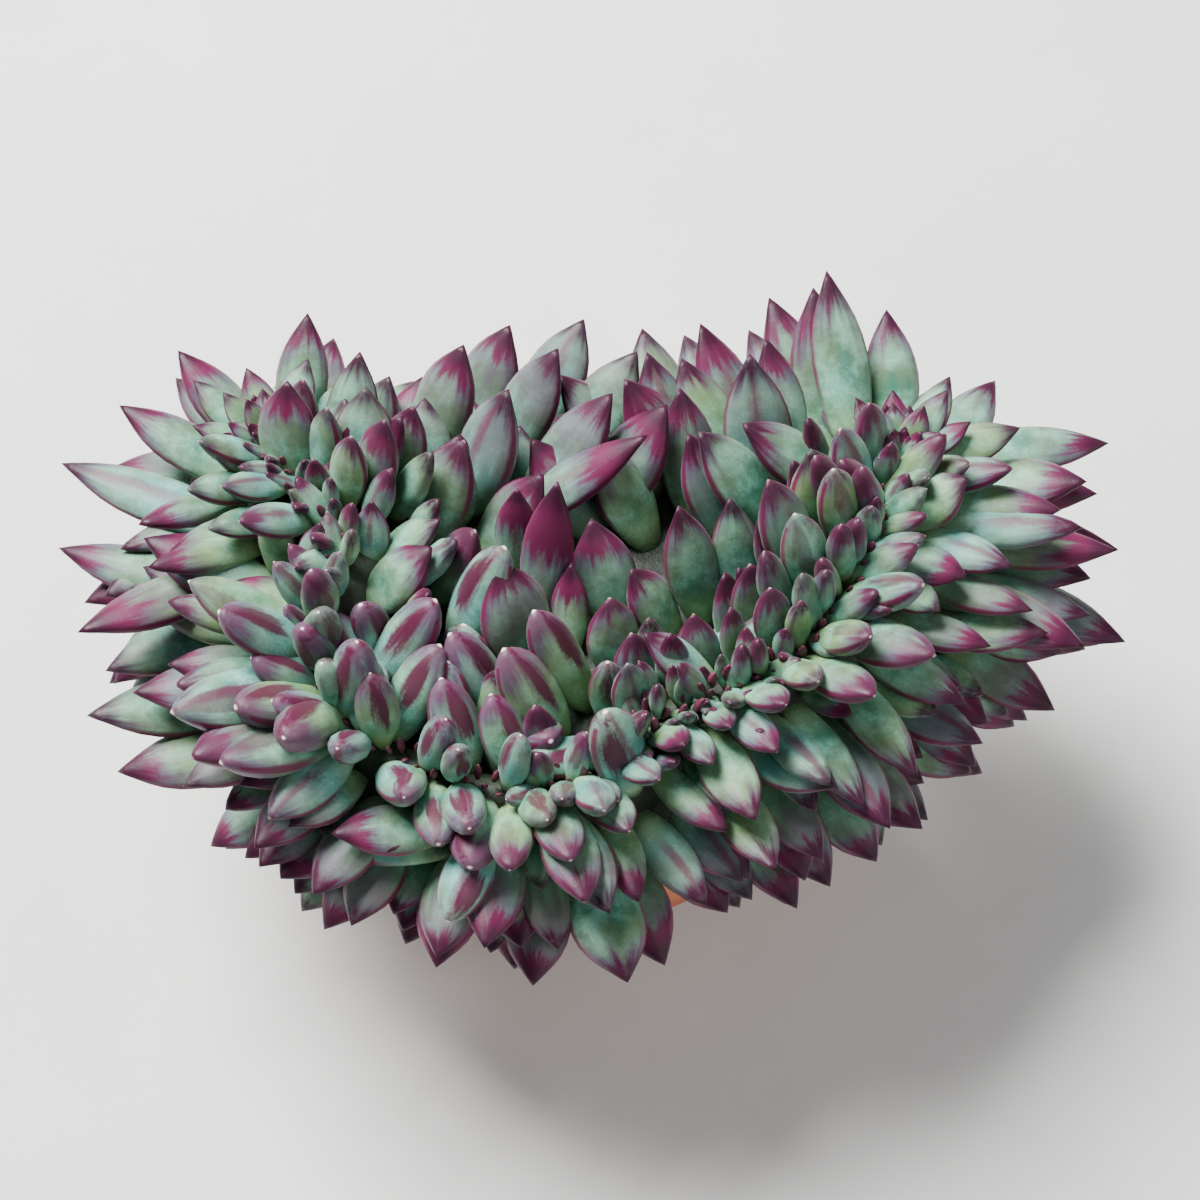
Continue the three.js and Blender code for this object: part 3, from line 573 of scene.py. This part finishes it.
# Adds a node with its settings, and links or values for its inputs. A node among them gives its first output.
def addNode(tree, kind, settings=None, inputs=None):
    node = tree.nodes.new("ShaderNode" + kind)
    for key, value in (settings or {}).items():
        setattr(node, key, value)
    for key, value in (inputs or {}).items():
        if isinstance(value, bpy.types.Node):
            value = value.outputs[0]
        if isinstance(value, bpy.types.NodeSocket):
            tree.links.new(value, node.inputs[key])
        else:
            node.inputs[key].default_value = value
    return node


# Settings of Math, Map Range and Mix nodes. A Map Range takes the range from 1 to 2 to that from 3 to 4.
plus, minus, times = {"operation": "ADD"}, {"operation": "SUBTRACT"}, {"operation": "MULTIPLY"}
timesPlus, larger = {"operation": "MULTIPLY_ADD"}, {"operation": "MAXIMUM"}
smooth = {"interpolation_type": "SMOOTHSTEP"}
tint = {"data_type": "RGBA"}


def startMaterial(name):
    material = bpy.data.materials.new(name)
    material.use_nodes = True
    material.node_tree.nodes.clear()
    return material, partial(addNode, material.node_tree)


leafSkin = {
    "blotchSize": 3.846, "dustSize": 0.4167,  # millimetres; the dust is drawn this coarse so that it shows
    "deepGreen": "#366c58", "green": "#68ab96", "blueGreen": "#5f9c9c", "limeGreen": "#84a458",
    # the darkest base colour is painted shade at the foot of each leaf, partly its own deeper green
    "paleBase": "#9db56c", "darkBaseAndPaintedShade": "#2c3a1f", "old": "#5a7860", "farina": "#d3e0dc",
    "olive": "#85824e", "plum": "#4c2858", "crimson": "#5d0637", "beanPatch": "#49052b",
    "darkTip": "#26061c", "point": "#e9cfd2",
}


# Waxy farina over a fleshy leaf: powdery grey-green and faintly matt, flushed crimson where the sun catches
# the tip, the margins and the keel, and darkened at its foot by painted shade, partly its own deeper green
def leafMaterial():
    material, add = startMaterial("farinaBloomedLeaf")
    place = add("Attribute", {"attribute_name": "leafPlace"})
    kind = add("Attribute", {"attribute_name": "leafKind"})
    spot = add("SeparateXYZ", None, {"Vector": place.outputs["Vector"]})
    own = add("SeparateXYZ", None, {"Vector": kind.outputs["Vector"]})
    along, side, up = spot.outputs["X"], spot.outputs["Y"], spot.outputs["Z"]
    chance, flush, age = own.outputs["X"], own.outputs["Y"], own.outputs["Z"]
    bean = kind.outputs["Alpha"]
    across = add("Math", {"operation": "ABSOLUTE"}, {0: side})
    coords = add("TexCoord").outputs["Object"]
    blotch = add("TexNoise", None, {
        "Vector": coords, "Scale": 1000 / leafSkin["blotchSize"], "Detail": 4.0, "Roughness": 0.6})
    grain = add("TexNoise", None, {
        "Vector": coords, "Scale": 1000 / leafSkin["dustSize"], "Detail": 3.0, "Roughness": 0.7})
    ownSide = add("Math", times, {0: chance, 1: 40.0})  # another stretch of the noise for each leaf
    ownUp = add("Math", times, {0: flush, 1: 40.0})
    lengthwise = add("CombineXYZ", None, {
        "X": add("Math", times, {0: along, 1: 2.0}),
        "Y": add("Math", timesPlus, {0: side, 1: 2.6, 2: ownSide}),
        "Z": add("Math", timesPlus, {0: up, 1: 2.6, 2: ownUp})})
    vein = add("TexNoise", None, {  # streaks that run along the leaf
        "Vector": lengthwise, "Scale": 1.0, "Detail": 3.0, "Roughness": 0.6})
    fineFlow = add("Math", timesPlus, {0: grain, 1: 0.35, 2: -0.925})
    flow = add("Math", timesPlus, {0: vein, 1: 1.5, 2: fineFlow})  # frays every edge of colour
    alongFlow = add("Math", timesPlus, {0: flow, 1: 0.5, 2: along})

    # the flush: plum under the farina, wide and soft, then crimson in the middle of it
    lessFlush = add("Math", timesPlus, {0: flush, 1: -0.32, 2: 1.0})
    tipStart = add("Math", timesPlus, {0: bean, 1: 0.1, 2: lessFlush})
    alongTip = add("Math", timesPlus, {0: flow, 1: 0.3, 2: along})
    ahead = add("Math", minus, {0: alongTip, 1: tipStart})
    nearRim = add("Math", timesPlus, {0: across, 1: 0.16, 2: ahead})
    olive = add("MapRange", smooth, {0: nearRim, 1: -0.4, 2: -0.08, 4: 0.3})
    plumTip = add("MapRange", smooth, {0: nearRim, 1: -0.14, 2: 0.16, 4: 0.75})
    plumAge = add("Math", times, {
        0: add("MapRange", smooth, {0: age, 1: 0.8, 2: 1.0, 4: 0.6}),
        1: add("MapRange", smooth, {0: alongFlow, 1: 0.3, 2: 0.8})})
    plum = add("Math", larger, {0: plumTip, 1: plumAge})

    # crimson on the margins, the tip and the keel, and a glow inside the margins
    wander = add("Math", timesPlus, {0: blotch, 1: 0.3, 2: -0.15})
    upperHalf = add("Math", plus, {0: along, 1: wander})
    edge = add("Math", timesPlus, {0: flow, 1: 0.07, 2: across})
    rim = add("Math", times, {
        0: add("MapRange", smooth, {0: edge, 1: 0.84, 2: 0.95}),
        1: add("MapRange", smooth, {0: upperHalf, 1: 0.28, 2: 0.6})})
    inner = add("Math", timesPlus, {0: flow, 1: 0.5, 2: across})
    rimGlow = add("Math", times, {
        0: add("MapRange", smooth, {0: inner, 1: 0.6, 2: 1.0, 4: 0.28}),
        1: add("MapRange", smooth, {0: along, 1: 0.4, 2: 0.85})})
    middle = add("Math", timesPlus, {0: flow, 1: 0.45, 2: across})
    keelLine = add("Math", times, {
        0: add("MapRange", smooth, {0: middle, 1: 0.02, 2: 0.34, 3: 1.0, 4: 0.0}),
        1: add("MapRange", smooth, {0: along, 1: 0.28, 2: 0.6})})
    keelKind = add("Math", larger, {
        0: add("MapRange", smooth, {0: chance, 1: 0.6, 2: 0.8, 4: 0.75}),
        1: add("MapRange", smooth, {0: up, 1: -0.4, 2: 0.2, 3: 0.4125, 4: 0.0})})
    streak = add("Math", times, {0: keelLine, 1: keelKind})
    tip = add("Math", times, {
        0: add("MapRange", smooth, {0: ahead, 1: -0.03, 2: 0.1}),
        1: add("Math", timesPlus, {0: bean, 1: -0.5, 2: 1.0})})
    red = tip
    for mark in (rim, streak, rimGlow):
        red = add("Math", larger, {0: red, 1: mark})
    crimson = add("Math", times, {0: red, 1: 0.92})

    # bean-shaped leaves carry a dark patch below the tip, off to one side and ragged, and a pale point
    patchLong = add("Math", timesPlus, {0: along, 1: 1.9, 2: -1.368})
    patchOff = add("Math", timesPlus, {0: flush, 1: -1.125, 2: 0.5625})
    patchWide = add("Math", timesPlus, {0: side, 1: 1.25, 2: patchOff})
    patchRound = add("Math", timesPlus, {
        0: patchLong, 1: patchLong, 2: add("Math", times, {0: patchWide, 1: patchWide})})
    patchEdge = add("Math", timesPlus, {0: flow, 1: 0.55, 2: patchRound})
    patch = add("Math", times, {
        0: add("MapRange", smooth, {0: patchEdge, 1: 0.1, 2: 0.4, 3: 0.95, 4: 0.0}), 1: bean})
    point = add("Math", times, {
        0: add("MapRange", smooth, {0: along, 1: 0.988, 2: 0.996}), 1: bean})

    # and the others a tip that is nearly black
    tipEdge = add("Math", timesPlus, {0: flow, 1: 0.1, 2: along})
    darkTip = add("Math", times, {
        0: add("MapRange", smooth, {0: tipEdge, 1: 0.8, 2: 0.97, 4: 0.85}),
        1: add("Math", minus, {0: 1.0, 1: bean})})
    dust = add("Math", times, {
        0: add("MapRange", smooth, {0: grain, 1: 0.45, 2: 0.72, 4: 0.24}),
        1: add("MapRange", smooth, {0: blotch, 1: 0.35, 2: 0.65})})

    skin = colour(leafSkin["deepGreen"])
    for share, name in (
        (add("MapRange", smooth, {0: blotch, 1: 0.35, 2: 0.68}), "green"),
        (add("MapRange", smooth, {0: chance, 1: 0.45, 2: 1.0, 4: 0.5}), "blueGreen"),
        (add("MapRange", smooth, {0: chance, 1: 0.0, 2: 0.4, 3: 0.32, 4: 0.0}), "limeGreen"),
        (add("MapRange", smooth, {0: along, 1: 0.16, 2: 0.5, 3: 0.5, 4: 0.0}), "paleBase"),
        # painted shade: the foot of each leaf darkened where it sinks among the others, partly its own deeper
        # green
        (add("MapRange", smooth, {0: along, 1: 0.06, 2: 0.3, 3: 0.8, 4: 0.0}), "darkBaseAndPaintedShade"),
        (add("MapRange", smooth, {0: age, 1: 0.7, 2: 1.0, 4: 0.3}), "old"),
        (dust, "farina"), (olive, "olive"), (plum, "plum"), (crimson, "crimson"), (patch, "beanPatch"),
        (darkTip, "darkTip"), (point, "point"),
    ):
        skin = add("Mix", tint, {0: share, 6: skin, 7: colour(leafSkin[name])}).outputs[2]

    relief = add("Math", timesPlus, {
        0: grain, 1: 0.2, 2: add("Math", times, {0: blotch, 1: 0.5})})
    bump = add("Bump", None, {"Strength": 0.25, "Distance": 0.0006, "Height": relief})
    rough = add("MapRange", None, {0: blotch, 1: 0.3, 2: 0.7, 3: 0.36, 4: 0.54})
    shader = add("BsdfPrincipled", None, {
        "Base Color": skin, "Roughness": rough, "Normal": bump, "IOR": 1.42, "Specular IOR Level": 0.28,
        "Subsurface Weight": 0.12, "Subsurface Radius": (0.8, 0.9, 0.5), "Subsurface Scale": 0.0015,
        "Sheen Weight": 0.05, "Sheen Roughness": 0.5})
    add("OutputMaterial", None, {"Surface": shader})
    return material


# A matt or satin natural surface in two tones, with blotches and a bump, sizes in millimetres
def naturalMaterial(name, dark, light, size, rough, depth, fleck=None):
    material, add = startMaterial(name)
    coords = add("TexCoord").outputs["Object"]
    broad = add("TexNoise", None, {
        "Vector": coords, "Scale": 1000 / size, "Detail": 5.0, "Roughness": 0.65})
    fine = add("TexNoise", None, {
        "Vector": coords, "Scale": 7000 / size, "Detail": 3.0, "Roughness": 0.6})
    share = add("MapRange", None, {0: broad, 1: 0.35, 2: 0.65})
    skin = add("Mix", tint, {0: share, 6: colour(dark), 7: colour(light)}).outputs[2]
    if fleck:
        spots = add("MapRange", None, {0: fine, 1: 0.6, 2: 0.74, 4: 0.5})
        skin = add("Mix", tint, {0: spots, 6: skin, 7: colour(fleck)}).outputs[2]
    height = add("Math", plus, {0: broad, 1: fine})
    bump = add("Bump", None, {"Strength": 0.6, "Distance": depth * mm, "Height": height})
    roughness = add("MapRange", None, {0: fine, 1: 0.3, 2: 0.7, 3: rough - 0.08, 4: rough + 0.05})
    shader = add("BsdfPrincipled", None, {
        "Base Color": skin, "Roughness": roughness, "Normal": bump, "IOR": 1.45})
    add("OutputMaterial", None, {"Surface": shader})
    return material


farinaLeaf = leafMaterial()
# Young stem flesh: smooth and green, but painted nearly black all over as painted shade for the gaps between
# the leaves
stemFleshPaintedShade = naturalMaterial("youngStemFleshPaintedShade", "#11190e", "#243220", 6, 0.6, 0.3)
# Crimson over green, satin, as the youngest leaves are
budSkin = naturalMaterial("flushedBudSkin", "#3d1226", "#6f2946", 1.6, 0.55, 0.05, "#8d9a74")
# Bark on an old stem, corky and matt, pale on the dried scars of its leaves
oldBark = naturalMaterial("corkyStemBark", "#5f4c3a", "#94806a", 4, 0.88, 0.5, "#b6a68c")
# Turned clay, fired and unglazed, matt with soft pale patches where lime blooms through it
terracotta = naturalMaterial("firedTerracotta", "#9c5232", "#b26a45", 14, 0.85, 0.15, "#c08a68")
# Bark, grit and pumice, dry, dusty and matt
grittyMix = naturalMaterial("grittySucculentMix", "#3f3227", "#6d5a45", 3, 0.92, 0.6, "#a8967c")
# Loose chips of pumice and lava, from brown to nearly white
gritStone = naturalMaterial("pumiceAndLavaGrit", "#5a4636", "#a99a86", 2.2, 0.9, 0.25, "#cfc6b6")
print("materials made")


crestBody = {
    "around": 16, "along": 72, "moundAround": 48, "moundRings": 24,
    "blunt": 24,  # how squarely the bar under the line ends, and how far it goes on past the line there
    "past": 3,
    "reach": 0.53,
    "sunk": 1.3,
}


# The flesh under the leaves: a bar below the growing line, on a low mound
def buildCrestBody():
    line, mound = growingLine, growth["mound"]
    bm = bmesh.new()
    bar = bmesh.ops.create_uvsphere(
        bm, u_segments=crestBody["around"], v_segments=crestBody["along"], radius=1)
    for vert in bar["verts"]:
        along, x, z = vert.co.z, vert.co.x, vert.co.y
        s = line["length"] * (0.5 - crestBody["reach"] * along)
        end = math.sqrt(max(0.0, 1 - abs(along) ** crestBody["blunt"]))
        angle = math.atan2(z, x)
        top, at = lineAt(line, s)
        course = courseAt(line, s)
        past = crestBody["past"] * (s if s < 0 else max(0.0, s - line["length"]))
        depth = (top.z - growth["floor"]) * (1 - end * math.sin(angle)) / 2
        half = growth["spread"] * math.sqrt(depth) * listAt(growth["bodyWidth"], at) * end
        side = 0 if abs(math.cos(angle)) < 0.05 else math.copysign(half, math.cos(angle))
        vert.co = Vector((
            top.x + past * math.cos(course) - side * math.sin(course),
            top.y + past * math.sin(course) + side * math.cos(course),
            top.z - crestBody["sunk"] - depth)) * mm
    dome = bmesh.ops.create_uvsphere(
        bm, u_segments=crestBody["moundAround"], v_segments=crestBody["moundRings"], radius=1)
    for vert in dome["verts"]:
        height = math.copysign(abs(vert.co.z) ** mound["flat"], vert.co.z)
        rise = mound["rise"] if height > 0 else mound["sag"]
        vert.co = Vector((mound["x"] + mound["across"] * vert.co.x, mound["y"] + mound["deep"] * vert.co.y,
                          mound["brim"] + rise * height)) * mm
    # its material is painted shade, nearly black, so the gaps between the leaves read dark
    finishPiece("crest_body", bm, stemFleshPaintedShade, "crest")


def buildLeaves(name, leaves, young=False):
    bm = newLeafMesh()
    for leaf in leaves:
        growLeaf(bm, leaf, young)
    finishPiece(name, bm, farinaLeaf, "crest", 1)
    print(name, len(leaves), "leaves")


rowLeaves = solidLeaves()
for leaf in rowLeaves:
    inside = firstNumber["inner"] <= leaf["number"] < firstNumber["back"]
    if inside and leaf["side"] < youngRows["beanDepth"]:
        at = nearestOnLine(growingLine, leaf["foot"].x, leaf["foot"].y)[1]
        leaf["bean"] = max(leaf["bean"], listAt(youngRows["bean"], at))
youngLeaves, lowLeaves = extraLeaves(rowLeaves)
buildCrestBody()
for name, low, high in (("leaves_left", -100, -20), ("leaves_middle", -20, 14), ("leaves_right", 14, 100)):
    buildLeaves(name, [leaf for leaf in rowLeaves + lowLeaves if low <= leaf["foot"].x < high])
buildLeaves("leaves_young", youngLeaves, True)
print("crest made")


budRow = {
    "side": 0.7, "pitch": 72, "length": 3.2, "width": 1.9, "thickness": 0.7, "step": 1,
    "crowding": 0.8,  # how much smaller the buds are where the young leaves are large
    "vary": {"size": 0.25, "turn": 1.1, "pitch": 16, "side": 0.8},
}


# The dark buds on the growing line, from one side of it to the other in turn
def buildBuds():
    line, vary = growingLine, budRow["vary"]
    bm = newLeafMesh()
    for i in range(int(line["length"] / budRow["step"])):
        n = firstNumber["buds"] + i
        s = budRow["step"] * (i + 0.5)
        point, at = lineAt(line, s)
        heading = courseAt(line, s) + (1 if i % 2 else -1) * math.pi / 2
        size = (1 + spread(n, vary["size"])) / listAt(growth["youngSize"], at) ** budRow["crowding"]
        side = budRow["side"] * (1 + spread(n + 400, vary["side"]))
        growLeaf(bm, {
            "foot": point + Vector((math.cos(heading), math.sin(heading), 0)) * side,
            "heading": heading + spread(n + 100, vary["turn"]),
            "pitch": math.radians(budRow["pitch"] + spread(n + 200, vary["pitch"])),
            "roll": 0.0,
            "length": budRow["length"] * size,
            "width": budRow["width"] * size,
            "thickness": budRow["thickness"],
            "number": n + 300,
            "age": 0.0,
            "bean": 0.0,
        }, True)
    finishPiece("growing_line_buds", bm, budSkin, "growing_line", 1)


buildBuds()
print("growing line made")


stemForm = {
    "foot": 20, "head": 47, "across": 9, "deep": 6, "segments": 40, "rings": 56,
    "flare": 9,  # how much wider it is at the head, and deeper
    "flareDeep": 0.35,
    "scars": 4.5,  # rings left by old leaves, and how far they and the bark stand out
    "scarDepth": 0.05,
    "scarWander": 0.6,
    "barkDepth": 0.035,
}


def buildStem():
    bm = bmesh.new()
    bmesh.ops.create_uvsphere(bm, u_segments=stemForm["segments"], v_segments=stemForm["rings"], radius=1)
    for vert in bm.verts:
        u = clamp01(0.5 + math.asin(max(-1.0, min(1.0, vert.co.z))) / math.pi)
        ring = math.hypot(vert.co.x, vert.co.y)
        angle = math.atan2(vert.co.y, vert.co.x)
        wave = 2 * math.pi * stemForm["scars"] * u + stemForm["scarWander"] * math.sin(3 * angle)
        scar = stemForm["scarDepth"] * math.sin(wave)
        bark = stemForm["barkDepth"] * noise.noise(Vector((3 * math.cos(angle), 3 * math.sin(angle), 9 * u)))
        swell = 0.0 if ring < 1e-6 else (1 + scar) * (1 + bark)
        x = (stemForm["across"] + stemForm["flare"] * u * u) * swell * math.cos(angle)
        y = stemForm["deep"] * (1 + stemForm["flareDeep"] * u * u) * swell * math.sin(angle)
        vert.co = Vector((x, y, stemForm["foot"] + u * (stemForm["head"] - stemForm["foot"]))) * mm
    finishPiece("corky_stem", bm, oldBark, "stem")


potForm = {
    "height": 40, "rimRadius": 35.5, "rimBand": 9, "rimStep": 2, "footRadius": 24.5, "wall": 3.2,
    "floor": 4.5, "drainCount": 5, "drainRadius": 2.4, "drainRing": 14, "steps": 96,
    "belly": 0.9,  # how round the wall is
    "edge": 1,  # rounding of the rim and foot
}


def wallRadius(z):
    top = potForm["rimRadius"] - potForm["rimStep"]
    rise = math.sin(math.pi / 2 * z / (potForm["height"] - potForm["rimBand"])) ** potForm["belly"]
    return potForm["footRadius"] + (top - potForm["footRadius"]) * rise


# A rounded edge of the profile, from one angle to another
def corner(r, z, start, end, steps=4):
    edge = potForm["edge"]
    angles = [math.radians(start + (end - start) * i / steps) for i in range(steps + 1)]
    return [(r + edge * math.cos(a), z + edge * math.sin(a)) for a in angles]


def spinProfile(bm, profile, steps):
    verts = [bm.verts.new(Vector((r, 0, z)) * mm) for r, z in profile]
    edges = [bm.edges.new(pair) for pair in zip(verts, verts[1:])]
    bmesh.ops.spin(bm, geom=verts + edges, cent=(0, 0, 0), axis=(0, 0, 1), angle=2 * math.pi, steps=steps,
                   use_merge=True)
    bmesh.ops.remove_doubles(bm, verts=bm.verts, dist=1e-6)


# A bowl turned from its profile, with its drain holes drilled
def buildPot():
    band, high, edge = potForm["height"] - potForm["rimBand"], potForm["height"], potForm["edge"]
    mouth = potForm["rimRadius"] - potForm["wall"] - potForm["rimStep"] / 2
    profile = [(0, 0)] + corner(potForm["footRadius"] - edge, edge, -90, 0)
    profile += [(wallRadius(z), z) for z in (4, 8, 12, 16, 20, 24, 28, band)]
    profile += corner(potForm["rimRadius"] - edge, band + edge, -60, 0)
    profile += corner(potForm["rimRadius"] - edge, high - edge, 0, 90)
    profile += corner(mouth + edge, high - edge, 90, 180)
    profile += [(wallRadius(z) - potForm["wall"], z) for z in (band, 27, 24, 20, 16, 12, 9)]
    profile += [(potForm["footRadius"] - potForm["wall"], potForm["floor"]), (0, potForm["floor"])]
    bm = bmesh.new()
    spinProfile(bm, profile, potForm["steps"])
    bmesh.ops.recalc_face_normals(bm, faces=bm.faces)
    mesh = bpy.data.meshes.new("bowl_blank")
    bm.to_mesh(mesh)
    bm.free()
    blank = bpy.data.objects.new("bowl_blank", mesh)
    scene.collection.objects.link(blank)
    drills = bmesh.new()
    for i in range(potForm["drainCount"]):
        angle = 2 * math.pi * i / potForm["drainCount"]
        place = Matrix.Translation(Vector((math.cos(angle), math.sin(angle), 0)) * potForm["drainRing"] * mm)
        radius = potForm["drainRadius"] * mm
        bmesh.ops.create_cone(drills, cap_ends=True, segments=24, radius1=radius, radius2=radius,
                              depth=4 * potForm["floor"] * mm, matrix=place)
    drillMesh = bpy.data.meshes.new("drain_drills")
    drills.to_mesh(drillMesh)
    drills.free()
    drill = bpy.data.objects.new("drain_drills", drillMesh)
    scene.collection.objects.link(drill)
    cut = blank.modifiers.new("drain", "BOOLEAN")
    cut.operation = "DIFFERENCE"
    cut.object = drill
    cut.solver = "EXACT"
    bpy.context.view_layer.update()
    shaped = bmesh.new()
    shaped.from_object(blank, bpy.context.evaluated_depsgraph_get())
    for spare in (blank, drill):
        bpy.data.objects.remove(spare, do_unlink=True)
    pot = finishPiece("clay_bowl", shaped, terracotta, "pot")
    pot.data.set_sharp_from_angle(angle=math.radians(40))


soilForm = {
    "top": 35, "gap": 0.4, "lift": 0.3, "rings": 30, "steps": 96,
    "lumps": [(0.5, 9, 0), (0.35, 3, 5)],  # height and width of the lumps on it, and where their noise starts
    "grit": 900, "gritLow": 0.5, "gritHigh": 1.5, "gritClear": 1.6, "gritKnock": 0.35,
    "stemAcross": 12, "stemDeep": 8,  # no grit where the stem stands
}


def soilHeight(x, y):
    swell = sum(high * noise.noise(Vector((x / wide, y / wide, z))) for high, wide, z in soilForm["lumps"])
    return soilForm["top"] + 0.2 + swell


def buildSoil():
    clear, rings = potForm["wall"] + soilForm["gap"], soilForm["rings"]
    edge = wallRadius(potForm["height"] - potForm["rimBand"]) - clear
    under = potForm["floor"] + soilForm["lift"]
    profile = [(0, under), (potForm["footRadius"] - clear, under)]
    profile += [(wallRadius(z) - clear, z) for z in (9, 16, 24, 31)]
    profile += [(edge * (1 - i / rings), soilForm["top"]) for i in range(rings + 1)]
    bm = bmesh.new()
    spinProfile(bm, profile, soilForm["steps"])
    for vert in bm.verts:
        if vert.co.z > (soilForm["top"] - 0.5) * mm:
            vert.co.z = soilHeight(vert.co.x / mm, vert.co.y / mm) * mm
    finishPiece("gritty_soil", bm, grittyMix, "soil")


def buildGrit():
    bm = bmesh.new()
    for i in range(soilForm["grit"]):
        n = firstNumber["grit"] + i
        angle = 2 * math.pi * fraction(n + 0.1)
        radius = (wallRadius(31) - potForm["wall"] - soilForm["gritClear"]) * math.sqrt(fraction(n + 0.2))
        x, y = radius * math.cos(angle), radius * math.sin(angle)
        if math.hypot(x / soilForm["stemAcross"], y / soilForm["stemDeep"]) < 1:
            continue
        size = soilForm["gritLow"] + (soilForm["gritHigh"] - soilForm["gritLow"]) * fraction(n + 0.3) ** 2
        made = bmesh.ops.create_icosphere(bm, subdivisions=1, radius=size * mm)["verts"]
        turn = Matrix.Rotation(6 * fraction(n + 0.4), 3, "X") @ Matrix.Rotation(6 * fraction(n + 0.5), 3, "Z")
        flat = Vector((1, 0.6 + 0.4 * fraction(n + 0.6), 0.5 + 0.4 * fraction(n + 0.7)))
        for vert in made:
            knock = 1 + soilForm["gritKnock"] * noise.noise(vert.co / mm * 1.3 + Vector((i, 0, 0)))
            vert.co = turn @ (vert.co * flat * knock) + Vector((x, y, soilHeight(x, y) + 0.25 * size)) * mm
    finishPiece("soil_grit", bm, gritStone, "soil")


buildStem()
buildPot()
buildSoil()
buildGrit()
print("pot, soil and stem made")


stage = {  # metres, and watts
    "floor": 3.0,
    "window": {"power": 33, "size": 0.45, "place": (-0.35, 0.35, 0.75)},
    "bounce": {"power": 3.4, "size": 0.7, "place": (0.55, -0.35, 0.5)},
    "aim": (0, 0, 0.05),
    "skyStrength": 0.24,
}


def buildStage():
    bm = bmesh.new()
    bmesh.ops.create_grid(bm, x_segments=1, y_segments=1, size=stage["floor"] / 2)
    mesh = bpy.data.meshes.new("floor")
    bm.to_mesh(mesh)
    bm.free()
    floor = bpy.data.objects.new("floor", mesh)
    scene.collection.objects.link(floor)
    # paper sweep, plain and matt
    mesh.materials.append(naturalMaterial("matPaperFloor", "#d6d5d2", "#deddda", 60, 0.85, 0.02))
    world = bpy.data.worlds.new("overcast")
    world.use_nodes = True
    back = world.node_tree.nodes["Background"]
    back.inputs["Color"].default_value = colour("#e6ecf5")
    back.inputs["Strength"].default_value = stage["skyStrength"]
    scene.world = world
    for name in ("window", "bounce"):
        lamp = bpy.data.lights.new(name, "AREA")
        lamp.energy = stage[name]["power"]
        lamp.size = stage[name]["size"]
        holder = bpy.data.objects.new(name, lamp)
        holder.location = stage[name]["place"]
        aim = Vector(stage["aim"]) - holder.location
        holder.rotation_euler = aim.to_track_quat("-Z", "Y").to_euler()
        scene.collection.objects.link(holder)


view = {"place": (2, -124, 266.5), "target": (2, 1, 50), "lens": 56.94}  # millimetres


def buildCamera():
    lens = bpy.data.cameras.new("camera")
    lens.lens = view["lens"]
    lens.sensor_width = 36
    lens.clip_start = 0.01
    camera = bpy.data.objects.new("camera", lens)
    camera.location = Vector(view["place"]) * mm
    aim = (Vector(view["target"]) - Vector(view["place"])) * mm
    camera.rotation_euler = aim.to_track_quat("-Z", "Y").to_euler()
    scene.collection.objects.link(camera)
    scene.camera = camera


buildStage()
buildCamera()
print("stage set")
